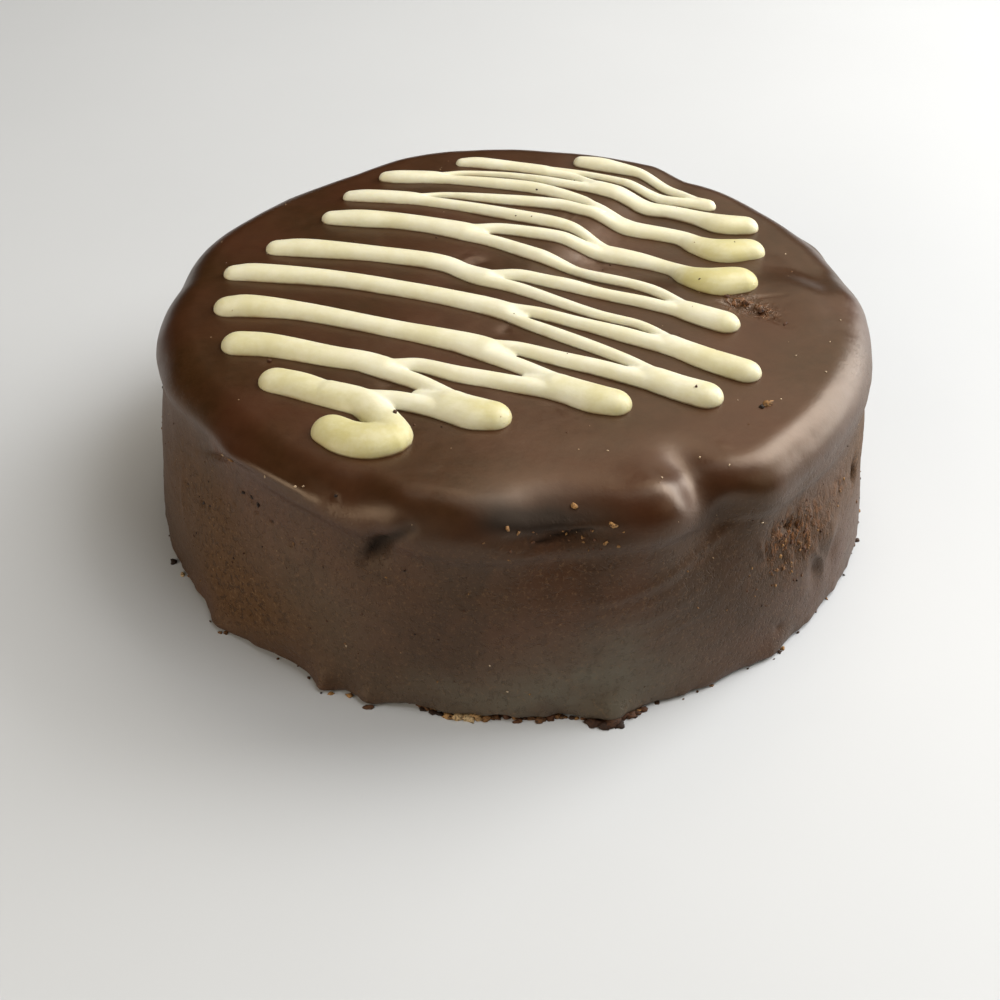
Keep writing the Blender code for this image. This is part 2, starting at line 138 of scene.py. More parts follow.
# Marks of the knife that smoothed the side.
SMEAR_SIZES = (26.0, 2.6)   # along and up
SMEAR_HEIGHT = 0.10
SMEAR_RISE = 0.16           # how far the marks rise for every mm round the side
SMEARS_FROM = (93.0, 98.0)  # distances from the axis between which they begin
SMEARS_BELOW = (53.0, 62.0)     # heights between which they end

# Ridges (up) and grooves (down) thin out to their ends, but not quite to nothing.
STROKE_ENDS = (0.06, 0.94)
STROKE_POWER = 0.5
LIP_CRACK = [(-88, 53.6), (-85.5, 54.6), (-83, 55.4), (-80.6, 56.6), (-79, 57.6)]
# Those of the side: half width, height, points (angle, z).
SIDE_STROKES = [
    (2, 0.9, [(-145, 49.5), (-141, 53), (-137, 56.2), (-133, 57.6), (-128, 58), (-122.5, 57.6),
      (-119, 57)]),
    (0.8, -0.8, [(-148.5, 45), (-144, 48.3), (-139.8, 51.9), (-136.5, 54.2), (-132.3, 55.7),
      (-127.8, 56.2), (-122, 56.2)]),
    (0.5, -0.8, [(-146, 46.8), (-142.5, 49.5), (-139.8, 51.9), (-137.5, 53.6)]),
    (1.7, -2, [(-111.6, 43.5), (-110.6, 46), (-108.9, 49.5), (-107, 52.6), (-104.8, 56)]),
    (0.8, -0.7, LIP_CRACK),
    (1, 0.35, [(-88.5, 55.2), (-85.5, 56.4), (-83, 57.2), (-80.6, 58.2)]),
    (1.2, 0.45, [(-79, 36), (-75, 36.7), (-69, 39.2), (-65.9, 40.8), (-62.6, 42.5), (-59.2, 44.5),
      (-56.5, 47), (-55, 51)]),
    (1, -0.25, [(-78, 34), (-73, 34.7), (-67, 37), (-63, 39.4), (-58, 42.5)]),
    (0.5, -0.6, [(-63.4, 41.2), (-62.4, 42.2), (-61, 42.4)]),
    (1.3, 0.22, [(-76, 29), (-70, 29.5), (-65, 31.5), (-60, 34.5)]),
    (1.1, 0.18, [(-73, 23), (-67, 24), (-61, 27), (-56, 31)]),
    (1, 0.9, [(-40, 29), (-38.3, 24), (-36.6, 21), (-35.7, 17), (-35.2, 13.5)]),
    (0.8, -0.5, [(-50, 44), (-47.5, 41.5), (-45, 41), (-42.5, 42.5)]),
    (0.8, -0.8, [(-47, 39.5), (-44.5, 38.4), (-42, 38)]),
    (0.7, 0.6, [(-48.5, 38), (-46, 36.4), (-43.6, 36)]),
    (0.6, 0.5, [(-52, 41), (-51.4, 37), (-50.6, 33)]),
    (0.6, -0.5, [(-50.8, 40), (-49.9, 35), (-49.2, 30)]),
    (0.7, 0.5, [(-46, 33.5), (-45.4, 30), (-44.6, 26)]),
    (0.6, -0.4, [(-43.8, 33), (-43.4, 29), (-43, 25)]),
    (0.6, -0.5, [(-24, 34.5), (-23, 31.5), (-22.6, 29.5)]),
    (0.7, 0.4, [(-22.2, 35), (-21.4, 32), (-21.4, 29)]),
    (0.7, -0.4, [(-33, 41), (-31, 38.5), (-30, 35)]),
    (1.6, 0.35, [(-153, 34), (-152, 26), (-150, 19)]),
]

# Pits of the side: angle, z, radius, depth.
SIDE_PITS = [
    (-134.7, 46, 0.7, 0.9), (-132.8, 46.2, 0.8, 1), (-131.3, 45.5, 0.7, 0.8), (-128.2, 43.2, 0.7, 0.8),
    (-131, 43, 0.6, 0.6), (-145.5, 31.8, 0.8, 0.8), (-143.5, 33, 0.7, 0.6), (-151, 32, 0.7, 0.7),
    (-123.7, 40.3, 0.9, 0.8), (-131.5, 11.5, 0.8, 0.7), (-116.6, 59, 0.6, 0.7), (-110.3, 25, 0.8, 0.4),
    (-140.5, 38, 0.6, 0.5), (-138, 35.5, 0.6, 0.5), (-136.5, 40.5, 0.6, 0.5), (-47, 8.5, 1.3, 0.7),
    (-45, 38.5, 1, 1), (-43, 37, 0.9, 0.9), (-22.8, 32.5, 1, 1), (-33.2, 16.5, 1.2, 0.3),
    (-37.6, 17, 1.3, 0.35), (-29, 36, 0.8, 0.6), (-49, 41, 0.8, 0.7),
]

# Those of the top: half width, height, points (x, y).
TOP_STROKES = [
    (0.9, -0.8, [(58, -1.5), (62, -2.6), (66, -4.6), (70, -8), (75, -14)]),
    (0.8, 0.5, [(60, 0.4), (64, -0.6), (68, -2.6), (72, -6.4)]),
    (0.6, -0.35, [(66, 1), (70, 2), (76, 2.4)]),
    (0.5, 0.25, [(50.6, -69), (52.3, -68.2), (53.8, -69.7)]),
    (0.5, 0.25, [(52, -68.6), (52.2, -71), (52.9, -72.6)]),
    (0.8, 0.45, [(15, 43), (16.4, 45), (18.4, 46.4)]),
    (0.7, -0.35, [(14.6, 44.6), (16, 46.6), (18, 48)]),
    (1.3, 0.5, [(-15.6, 19), (-13, 20.6), (-10.6, 20.8)]),
    (1, -0.5, [(-15.4, 16.6), (-12.6, 18), (-9.8, 18)]),
    (0.8, -0.3, [(7.6, -53), (9.4, -54.6), (11.4, -56.6)]),
    (0.8, -0.5, [(-35, -46.4), (-33, -46.9), (-30.8, -46.7)]),
    (6, 0.7, [(71, 27), (76, 17), (80, 8), (82.5, 0), (83, -12)]),
    (4, -0.6, [(79, 31), (85, 20), (88.5, 9), (90.5, -2), (90.5, -12)]),
]

# Small dents of the top: x, y, radius, depth.
TOP_PITS = [
    (-3, -18.5, 1.6, 0.45), (-84, -49.5, 0.7, 0.7), (-66, -36.6, 0.6, 0.4), (24, 20, 2.4, 0.45),
    (26, 27, 1.8, 0.35), (22, 36, 2, 0.4), (61.5, -2, 1, 0.8), (66.4, -3.4, 0.9, 0.6),
]

# Where the coat is broken and crumb shows: places of the side (angle, z, along, up, strength)
# and of the top (x, y, reach, strength).
SIDE_CRUMBLY = [
    (-45.5, 36, 8, 6.5, 1), (-41, 33, 13, 9, 0.5), (-83, 55, 11, 3.5, 0.25), (-139.5, 53, 5, 2, 0.4),
    (-22.8, 34, 4, 6, 0.4), (-30, 36.5, 5, 3, 0.4), (-62, 42, 2.5, 1.6, 0.7),
]
TOP_CRUMBLY = [(64, -2, 4.5, 0.9), (70, -6, 3.5, 0.5)]
# Where the coat is thin and porous: angle, z, along, up, strength.
POROUS = [
    (-136, 14, 15, 9, 1), (-128, 19, 22, 15, 0.6), (-140, 34, 14, 12, 0.55), (-156, 30, 22, 22, 0.6),
    (-40, 33, 22, 12, 0.4), (-16, 36, 22, 18, 0.8), (70, 18, 30, 12, 0.5), (140, 25, 34, 16, 0.5),
]
# Where a pale sheen is painted low on the side, a painted reflection of the pale floor: angle, z, along,
# up, strength.
PAINTED_SHEEN = [
    (-78, 8, 26, 12, 1), (-76, 22, 16, 9, 0.6), (-98, 6, 20, 9, 0.6), (-118, 22, 16, 12, 0.35),
    (60, 14, 40, 14, 0.8), (150, 10, 36, 12, 0.7),
]
# Where shade is painted dark into the side: into its hollows and groove, under the rim's lip, and over a
# broad patch of the front-right side: angle, z, along, up, strength.
PAINTED_SHADE = [
    (-109.8, 47.5, 2.4, 3.6, 0.35), (-86, 58.5, 9, 4, 0.9), (-80, 54, 15, 4, 0.6),
    (-60, 53, 7, 4.5, 0.5), (-34, 20, 2.4, 5, 0.4), (-22.8, 32, 1.6, 3, 0.6), (-52, 30, 22, 18, 0.32),
    (-103, 57, 12, 4, 0.3),
]
# Painted shade along the side's dark groove and along the lip's crack.
PAINTED_SHADE_LINES = [            # half width, strength, points (angle, z)
    (1.5, 1.1, [(-111.4, 45), (-110.2, 47), (-108.6, 50), (-106.6, 53.2), (-104.2, 56.6)]),
    (0.5, 0.8, LIP_CRACK),
]
# Painted shade on the front of the top's edge, where it turns down away from the lights.
TOP_PAINTED_SHADE = [             # x, y, reach, strength
    (9, -94, 6, 0.8), (18, -95, 5, 0.6), (-3, -97, 7, 0.9), (26, -97, 5, 0.3),
]
# Where the top's skin is dull and mottled: x, y, reach, strength.
DULL = [
    (24, 30, 9, 1), (27, 18, 6, 0.7), (-3, -18.5, 3, 0.6), (-13, 20, 4, 0.6), (16, 45, 3, 0.6),
]
# The places of the side begin between these distances from the axis, and the top's between these
# heights.
SIDE_PATCHES_FROM = (90.0, 96.0)
TOP_PATCHES_FROM = (HEIGHT - 0.7 * EDGE_ROUND, HEIGHT - 0.3 * EDGE_ROUND)
POROUS_RELIEF = 0.13
DULL_RELIEF = 0.065
POROUS_SIZE = 1.7
CRUMBLY_RELIEF = 0.75
CRUMBLY_SIZES = (2.2, 2.2, 3.6)

# The coat's ragged lower edge: raggedness (size along, height) and where it is lifted with crumb
# showing under it (angle, reach along, lift).
FOOT_RAGGED = [(7.0, 0.7), (2.6, 0.35)]
FOOT_RAGGED_REACH = 3.5
FOOT_LIFTS = [
    (-92, 13, 1.7), (-75, 6, 1.3), (-104, 5, 1.2), (-126, 8, 0.9), (-147, 8, 0.7), (-33, 12, 0.6),
    (40, 16, 1.2), (95, 12, 1.4), (140, 15, 1.1),
]
FOOT_LIFT_REACH = 5.0
RAGGED_FROM = (96.0, 101.0)     # distances from the axis between which it begins
RAGGED_FLAT = (1.0, 1.0, 0.3)   # the raggedness changes slowly with the height
LIFT_UNEVEN = (5.0, 0.75, 0.5)  # size, middle and swing of the lift's unevenness
UNDERSIDE = 0.01            # points that are lower lie on the flat underside and aren't lifted
# How the coat's lower edge curls in under itself: how far in, height; and the rings of the
# underside: radius, number of points.
FOOT_CURL = [(0.25, 1.2), (1.0, 0.5), (2.2, 0.3), (2.5, 0.0)]
UNDERSIDE_RINGS = [(95.0, 320), (60.0, 160), (30.0, 80), (0.0, 1)]
# Each relief reads the noise this far away from the others, so that none repeats another.
SWELLS_AT = 40.0
SMEARS_AT = 3.7
CRUMBLY_AT = 9.0
RAGGED_AT = 70.0
LIFT_AT = 20.0

# ---- crumbs and specks, mm ----
# Single crumbs on the side (angle, z), on the top (x, y) and at the foot (angle, distance outside
# it); then half length and tone, from 0, dark cocoa, over brown and golden to 1, pale.
CRUMBS = {
    "side": [
        (-81, 60, 1, 0.72), (-76, 57.5, 1, 0.78), (-77, 53, 0.7, 0.7), (-91, 58, 0.7, 0.65),
        (-89.5, 56.5, 0.6, 0.65), (-46.8, 31, 0.8, 0.75), (-44.5, 27, 0.7, 0.7),
        (-44.5, 24.5, 0.6, 0.7), (-30, 35, 0.6, 0.7), (-28.5, 37, 0.6, 0.75), (-139.8, 51.9, 0.8, 0.55),
        (-138.3, 53.4, 0.7, 0.6), (-136.5, 55, 0.8, 0.6), (-123.7, 40.3, 0.6, 0.8),
        # The darkest crumbs here (tone 0 and 0.05) sit in the side's pits and paint the shade in them.
        (-134.7, 46, 0.7, 0), (-132.8, 46.2, 0.8, 0), (-131.3, 45.5, 0.7, 0), (-128.2, 43.2, 0.6, 0),
        (-145.5, 31.8, 0.8, 0.05), (-143.5, 33, 0.6, 0.05), (-151, 32, 0.6, 0.05), (-116.6, 59, 0.6, 0),
    ],
    "top": [
        (46.6, -49.1, 0.6, 0.3), (-30.5, -62.6, 0.8, 0.25), (65.3, -51.2, 1.5, 0.66),
        (63.6, -52.4, 0.9, 0), (59.9, 1.3, 0.9, 0.4), (65, -1.7, 1.1, 0.45), (69.1, -5.3, 0.9, 0.4),
        # The dark crumb at (-84.4, -48.9), tone 0, sits in a pit of the top and paints its shade.
        (74.7, -12.4, 0.7, 0.35), (-84.4, -48.9, 0.7, 0), (-65.8, -35.7, 0.6, 0.4),
    ],
    "foot": [
        (-110, 0.5, 1.3, 0.45), (-102.5, 0.2, 1.1, 0.05), (-101, 0.3, 1.3, 0.1), (-100, 0.2, 1, 0.05),
        (-98.7, 0.5, 1.6, 0.84), (-97.4, 0.7, 1.9, 0.9), (-96, 0.8, 2.1, 0.92), (-94.8, 0.6, 1.7, 0.86),
        (-94, 0.4, 1.1, 0.7), (-93.4, 1, 1.2, 0.6), (-92, 0.4, 1.3, 0.5), (-90.6, 0.2, 1.1, 0.35),
        (-87, 0.4, 1.4, 0.5), (-85.6, 0.4, 1.3, 0.5), (-84.4, 0.2, 1, 0.3), (-83, 0, 1.1, 0.6),
        (-78.2, 0.5, 2.5, 0.18), (-77, 1.4, 2.3, 0.12), (-76, 0.4, 2.1, 0.25), (-75, 1.2, 1.7, 0.1),
        (-74, 0.8, 2, 0.35), (-73, 0.6, 1.6, 0.42), (-72.2, 0.5, 1.3, 0.3), (-113.5, 0.3, 0.9, 0.8),
        (-116, 0.3, 0.8, 0.8), (-155, 1.5, 1.1, 0.05), (-151.7, 1, 0.9, 0.9), (-46, 0.3, 1, 0.8),
    ],
}
# Groups of crumbs: first and last angle (or x), lowest and highest z (or distance or y), how many,
# smallest and largest half length, darkest and lightest tone.
CRUMB_GROUPS = {
    "foot": [
        (-162, -40, -0.5, 0.5, 30, (0.4, 0.9), (0.1, 0.6)),
        (-104, -71, -0.8, 0.5, 80, (0.5, 1.3), (0, 0.75)),
        (-40, 198, -0.5, 0.6, 60, (0.4, 1), (0.1, 0.7)), (30, 60, -0.8, 0.6, 60, (0.5, 1.3), (0, 0.75)),
    ],
    "side": [
        (-49, -40, 27, 43, 30, (0.35, 0.8), (0.3, 0.75)),
        (-56, -30, 18, 48, 30, (0.25, 0.5), (0.2, 0.75)),
        (-97, -74, 50, 57, 22, (0.3, 0.6), (0.4, 0.78)), (-160, -20, 6, 50, 50, (0.25, 0.45), (0, 0.7)),
        (-20, 200, 6, 52, 80, (0.25, 0.6), (0, 0.75)), (96, 110, 28, 44, 30, (0.35, 0.8), (0.3, 0.75)),
    ],
    "top": [(-85, 85, -85, 85, 26, (0.25, 0.45), (0.1, 0.6))],
}
# Pale specks, and groups of them, in the same form.
SPECKS = {
    "top": [
        (85.9, -21.2, 0.35, 1), (75.6, -28.5, 0.31, 1), (82.6, -35.9, 0.39, 1), (69, -48.8, 0.31, 1),
        (57.7, -49.6, 0.31, 1), (85.6, -41.9, 0.39, 1), (84, -52.4, 0.35, 1), (77.2, -61.8, 0.39, 1),
        (45.8, -73.3, 0.47, 0.9), (52.9, -76.3, 0.43, 1), (81, 32.3, 0.31, 1), (90.7, -9.3, 0.35, 1),
        (23, -72.7, 0.39, 1), (35.6, -83.6, 0.39, 1),
    ],
    "side": [
        (-90.5, 10.5, 0.39, 1), (-93, 18.7, 0.31, 1), (-114, 16.5, 0.39, 1), (-51.7, 46.5, 0.47, 1),
        (-128.5, 57.5, 0.47, 0.9), (-123, 58.5, 0.47, 0.9), (-121.8, 59, 0.39, 0.9),
        (-139, 54, 0.47, 0.85),
    ],
}
SPECK_GROUPS = {
    "top": [(-88, 88, -88, 88, 46, (0.16, 0.28), (0.6, 1))],
    "side": [
        (-160, -20, 8, 58, 20, (0.16, 0.28), (0.6, 1)), (-20, 200, 8, 58, 22, (0.16, 0.28), (0.6, 1)),
    ],
}
# Colours of crumbs and of specks from tone 0 to 1: dark, brown, golden and pale.
CRUMB_COLOURS = [(34, 22, 15), (88, 57, 38), (166, 124, 74), (214, 194, 154)]
SPECK_COLOURS = [(110, 84, 62), (140, 112, 86), (170, 142, 108), (200, 180, 152)]
CRUMB_SEED = 5
SPECK_SEED = 6
CRUMB_WIDTH = (0.5, 0.85)   # width of a crumb, as a share of its length
CRUMB_FLAT = (0.35, 0.65)   # its height, as a share of its length
CRUMB_UP = 0.25             # how far its middle stands above the surface, as a share of half that
CRUMB_LUMPS = 0.8           # how far its lumps stand out, as a share of its radius
CRUMB_LUMP_SIZE = 0.8       # for a crumb with a half length of 1
CRUMB_NOISE_SPAN = 100.0    # each crumb takes its lumps from its own place within this span
FOOT_CRUMBS_TURNED = 22.0   # degrees that a crumb at the foot is turned off the foot's line
LARGE_CRUMB = 0.6           # crumbs with a greater half length get the finer mesh
SMALL_OFTEN = 1.8           # small crumbs are more common than large ones
TOP_CRUMBS_WITHIN = 93.0
FOOT_LEVEL = 1.2            # height at which the foot's outline is taken
FAR_OUT = 200.0             # rays that find a surface start here

# ---- the piped line, mm (as in the solid) ----
# The line is piped to and fro.  At every turn two runs melt into one band, from a round tip to a
# fork, front to back and left and right in turn: x, y, half width.
BANDS = [
    [(-62.6, -45.5, 5), (-56.3, -47.8, 4.9), (-48.5, -51.5, 4.7), (-39.5, -54.7, 5.1)],
    [(-6.2, -60, 5.4), (-10.5, -59.1, 6.1), (-14.5, -57.1, 6), (-18, -55.1, 6)],
    [(-74.7, -28.5, 5), (-66, -29.6, 4.6), (-50, -34.1, 4.1), (-40, -36.5, 4.1), (-34, -39.4, 4.2)],
    [(25.2, -53.2, 5), (20.8, -51.8, 5.5), (14.5, -48.5, 5.2), (9.5, -46, 5.3)],
    [(-80, -9.8, 4.6), (-74, -9.8, 4.7), (-58, -12.7, 3.7), (-34, -20.1, 3.6), (-15, -26.1, 4.3),
     (-7.5, -29.8, 4.8)],
    [(49.3, -49, 4.9), (43, -45.9, 4.9), (35.5, -41.5, 4.8)],
    [(-80.9, 8.7, 3.6), (-73.9, 8.6, 4), (-50, 5.4, 3.5), (-25, -1.5, 3.5), (-10.2, -6.5, 3.7),
     (-2.5, -10.1, 3.8)],
    [(61, -37.5, 4.4), (52, -32.5, 4.4), (44.4, -27.4, 4.1), (40.8, -25, 4.2)],
    [(-70.4, 23.4, 3.7), (-62, 23.1, 4.1), (-42, 20.4, 3.6), (-22.3, 16.4, 3.5), (-15, 12.5, 3.5),
     (-8.6, 8.4, 4)],
    [(57.8, -13.5, 4.5), (51.3, -10, 4.3), (46.5, -7.1, 3.9)],
    [(-56, 42.3, 3.5), (-47.7, 41.6, 4.1), (-35.4, 40.3, 3.8), (-23.2, 37.2, 3.9), (-14.5, 34.1, 4.3)],
    [(63.2, 9.8, 6.7), (57, 8.8, 7), (51.5, 12, 5.7), (46.6, 18.6, 3.6), (36.8, 25, 3.5),
     (27, 29.3, 3.6)],
    [(-51.6, 57.5, 2.8), (-46, 56.8, 3.2), (-31.5, 55, 3.2)],
    [(69.6, 31.6, 5.2), (61.5, 30.6, 5.7), (55.2, 34, 4.4), (49.8, 39, 3.4), (38, 43.1, 3.6),
     (32.5, 45.3, 3.7)],
    [(-41.3, 70.1, 2.7), (-37.2, 69.7, 3.2), (-25.5, 69.4, 3.2)],
    [(70.4, 47.4, 4.3), (63.2, 48, 4.6), (56.3, 51.7, 3.4), (48, 55.5, 3), (38.6, 58.1, 3.3),
     (25, 64.8, 3.4)],
    [(-17.6, 80.4, 2.3), (-12, 80.2, 2.7), (1, 77.7, 2.5), (9.5, 75.4, 2.7)],
    [(60.2, 59.6, 2.5), (56.5, 61.1, 2.8)],
]
# The runs between the forks of neighbouring bands, each from left to right.
RUNS = [
    [(-29.8, -53.8, 3.2)], [(-25.6, -45.3, 2.8)],
    [(-25.5, -37.5, 2.5), (-14.7, -41.6, 3), (-1, -45.4, 3.1)], [(1.1, -37.4, 2.8)],
    [(1.1, -29.1, 2.6), (11.8, -33.5, 2.8), (24, -38.1, 3)],
    [(1.5, -15.1, 2), (12, -21.8, 2.3), (27.9, -32, 2.1)],
    [(6.6, -10.9, 2.3), (17.6, -15.7, 2.4), (30, -21.3, 2.9)],
    [(0.5, 2.3, 2.3), (12.3, -4.9, 2), (23.3, -11.2, 1.8), (34.2, -15.8, 1.7)],
    [(1, 9.5, 2.4), (12.5, 5.5, 2.9), (23.8, 0.4, 2.3), (36, -4, 2.4)],
    [(-5.5, 28.1, 2.5), (6.9, 21, 2.7), (16, 17.3, 2.4), (24.3, 11.2, 2.5), (39, 2.7, 2)],
    [(-5, 36.6, 2.3), (7, 34.1, 2.5), (17, 30.9, 2.5)],
    [(-17.5, 50.6, 2.3), (-5.1, 46.8, 2.5), (11, 41.4, 2.5), (19.2, 36.7, 2.1)],
    [(-22, 57.9, 1.3), (-5.2, 55.5, 2.2), (12, 53, 2.4), (19.5, 49.9, 2.4)],
    [(-18, 67.7, 2.1), (-5.3, 65.8, 2.5), (7.3, 62.7, 2.6), (19.7, 56.3, 2.1), (24.6, 51.7, 1.9)],
    [(-17, 72.8, 1.3), (-5.4, 72.4, 1.3), (4, 70.5, 1.6), (14, 67.1, 2)], [(17, 72.1, 1.6)],
    [(17.5, 74.9, 1.4), (26.5, 72.1, 1.4), (39, 66.3, 1.9), (47, 63.1, 2)],
]
# The first run starts at a round end and hooks up to the first band, and the last run ends round.
HOOK = [
    (-46, -67.1, 5.6), (-41.5, -70.3, 6.1), (-36, -71.6, 6.5), (-31.2, -69.3, 5.9), (-33.6, -62.5, 4.9),
]
END = [
    (51.5, 66.9, 1.7), (45.8, 70.9, 2), (39.5, 74.9, 2.2), (33.2, 77.9, 2.8), (26.9, 80.4, 3.3),
    (20.8, 82.1, 2.7),
]
BEAD_HEIGHT = 2.9
BEAD_HALF_WIDTH = 3.3
BEAD_POWER = 0.7
FORK_LOW = 0.22             # how much lower a band is at its fork than at its tip, as a share
LEFT_TIP_LOW = 0.2          # how much lower the left tips are than the rest of their bands
# How a band runs out past its fork: shares of its half width, for the distance, the half width
# and the height.
BAND_TAPER = [(0.6, 0.7, 0.5), (1.4, 0.35, 0.25)]

# ---- finer sizes of the piped line, mm ----
BEAD_SPACING = 1.2          # between the rings of a bead
ROUND_ENDS = (0.3, 0.55, 0.75, 0.9, 0.97)
BEAD_SIDES = 20
BEAD_SUNK = 1.3             # the beads reach this far into the coat
BEAD_SWELLS = (9.0, 0.03)   # size along, share of the half width
BEAD_WANDER = (13.0, 0.12)  # size along, sideways
BEAD_LAYERS = 5.0           # each bead takes its swells from a slice of the noise of its own
WANDER_LAYER = 90.0         # and its wander from slices this far above
BEAD_VOXEL = 0.42
BEAD_SMOOTHING = (0.5, 10)  # strength, times
BEAD_TRIANGLES = 170000
BEAD_NEAR = 10              # so many points of the beads give the skin's local thickness
BEAD_NEAR_REACH = 6.0


def smooth_step(t):
    t = np.clip(t, 0.0, 1.0)
    return t * t * (3.0 - 2.0 * t)


def bell(distance, reach):
    return np.exp(-((distance / reach) ** 2))


def turn_between(a, b):
    """Signed angle from b to a in degrees, between -180 and 180."""
    return (a - b + 180.0) % 360.0 - 180.0


def fade_in(y, limits):
    return smooth_step((y - limits[0]) / (limits[1] - limits[0]))


def polar(points):
    """Angle in degrees and distance from the axis of points (n, 3)."""
    return np.degrees(np.arctan2(points[:, 1], points[:, 0])), np.hypot(points[:, 0], points[:, 1])


def arc(angle, centre, radius):
    """Signed length of the arc from centre to angle, mm."""
    return np.radians(turn_between(angle, centre)) * radius


def swells(points, sizes):
    """Smooth noise between about -1 and 1 at points (n, 3), with features of the given sizes."""
    return np.array([noise.noise(Vector(p)) for p in points / np.asarray(sizes)])


# ---- the body's form, mm ----
def down_ledge(x, y):
    """Share of the way down the ledge: 0 on its left, 1 on its right."""
    run = np.subtract(LEDGE_TO, LEDGE_FROM)
    side = ((x - LEDGE_FROM[0]) * run[1] - (y - LEDGE_FROM[1]) * run[0]) / np.hypot(*run)
    return smooth_step(side / LEDGE_WIDTH + 0.5)


def top_relief(x, y):
    """How much the top stands above (or below) HEIGHT at a point, mm."""
    dome = DOME * (1.0 - (np.hypot(x, y) / RIM_RADIUS) ** 2)
    step = LEDGE_DROP * down_ledge(x, y) * fade_in(y, LEDGE_FADE)
    lumps = sum(h * bell(np.hypot(x - lx, y - ly), reach) for lx, ly, reach, h in TOP_LUMPS)
    return dome - step + lumps


def lip_height(angle):
    """Height of the thick coating's lower edge, mm."""
    waves = sum(up * np.sin(turns * np.radians(angle) + phase) for turns, phase, up in LIP_WAVES)
    return LIP_HEIGHT + waves


def hidden_features():
    """Lumps and foot teeth for the side that faces away, drawn with a fixed seed."""
    draw = random.Random(SEED)
    lumps = []
    for _ in range(HIDDEN_LUMPS):
        angle = draw.uniform(*HIDDEN_SIDE)
        height = draw.uniform(*LUMP_HEIGHTS)
        depth = draw.choice((-1.0, 1.0)) * draw.uniform(*LUMP_DEPTHS)
        lumps.append((angle, height, draw.uniform(*LUMP_ALONG), draw.uniform(*LUMP_UP), depth))
    teeth = []
    for _ in range(HIDDEN_TEETH):
        angle = draw.uniform(*HIDDEN_SIDE)
        teeth.append((angle, draw.uniform(*TOOTH_ALONG), draw.uniform(*TOOTH_STICKS)))
    return lumps, teeth


def side_relief(angle, z):
    """How far the side stands out of the turned form, mm."""
    lumps, teeth = hidden_features()
    out = np.zeros_like(z)
    for centre, height, along, up, depth in SIDE_LUMPS + lumps:
        out += depth * bell(arc(angle, centre, RIM_RADIUS), along) * bell(z - height, up)
    for centre, along, stick in FOOT_TEETH + teeth:
        out += stick * bell(arc(angle, centre, FOOT_RADIUS), along) * bell(z, TOOTH_REACH)
    over = z - lip_height(angle)
    out += LIP_PROUD * (smooth_step(over / LIP_STEP + 0.5) - 0.5) * bell(over, LIP_REACH)
    return out


def rim_shift(angle, z):
    """How far the whole rim stands out of the turned form, mm."""
    shift = sum(out * bell(turn_between(angle, centre), reach) for centre, reach, out in RIM_WAVES)
    return shift * bell(np.minimum(z - RIM_WAVE_HEIGHT, 0.0), RIM_WAVE_REACH)


def uneven(points):
    """Moves points (n, 3) of the turned body to their places on the real, uneven cake, mm."""
    x, y, z = points.T
    angle, radius = polar(points)
    top_share = smooth_step((z - HEIGHT + 2.0 * EDGE_ROUND) / (2.0 * EDGE_ROUND))
    side_share = 1.0 - fade_in(z, SIDE_FADE)
    outwards = side_relief(angle, z) * side_share * np.minimum(radius / RIM_RADIUS, 1.0)
    outwards += rim_shift(angle, z) * smooth_step((radius - RIM_INSIDE) / (RIM_RADIUS - RIM_INSIDE))
    stretch = 1.0 + outwards / np.maximum(radius, 1.0)
    return np.column_stack((x * stretch, y * stretch, z + top_relief(x, y) * top_share))


def side_radius(z):
    """Radius of the turned form's side at a height, mm."""
    edge_base = HEIGHT - EDGE_ROUND
    waist = (RIM_RADIUS - WAIST_RADIUS) * bell(z - WAIST_HEIGHT, WAIST_REACH)
    spread = (FOOT_RADIUS - RIM_RADIUS) * np.clip(1.0 - z / edge_base, 0.0, 1.0) ** SPREAD_POWER
    return RIM_RADIUS + spread - waist


def edge_radius(z):
    """Radius of the turned form at a height, also where its edge is rounded, mm."""
    over = np.clip((z - HEIGHT + EDGE_ROUND) / EDGE_ROUND, 0.0, 1.0)
    return side_radius(z) - EDGE_ROUND * (1.0 - np.sqrt(1.0 - over ** 2))


# ---- the coat's mesh ----
def even_steps(start, stop, spacing):
    """Values from start (left out) to stop, about a spacing apart."""
    steps = max(1, round(abs(stop - start) / spacing))
    return [start + (stop - start) * (i + 1) / steps for i in range(steps)]


def coat_rings():
    """Radius, height and number of points of every ring, from the top's centre to the foot."""
    flat_edge = RIM_RADIUS - EDGE_ROUND
    edge_base = HEIGHT - EDGE_ROUND
    rings = [(0.0, HEIGHT, 1)]
    limits = INNER_RINGS + [(flat_edge, SECTORS)]
    last = 0.0
    for limit, count in limits:
        rings += [(r, HEIGHT, count) for r in even_steps(last, limit, TOP_SPACING)]
        last = limit
    for turn in even_steps(0.5 * math.pi, 0.0, EDGE_SPACING / EDGE_ROUND):
        radius = flat_edge + EDGE_ROUND * math.cos(turn)
        rings.append((radius, edge_base + EDGE_ROUND * math.sin(turn), SECTORS))
    rings += [(float(side_radius(z)), z, SECTORS) for z in even_steps(edge_base, FOOT_ROUND, SIDE_SPACING)]
    return rings


def foot_rings():
    """The rings that close the coat below: its curled lower edge and the flat underside."""
    curl = [(FOOT_RADIUS - inwards, z, SECTORS) for inwards, z in FOOT_CURL]
    return curl + [(radius, 0.0, count) for radius, count in UNDERSIDE_RINGS]


def ring_points(rings):
    parts = []
    for radius, z, count in rings:
        turn = 2.0 * math.pi * np.arange(count) / count
        parts.append(np.column_stack((radius * np.cos(turn), radius * np.sin(turn), np.full(count, z))))
    return np.vstack(parts)


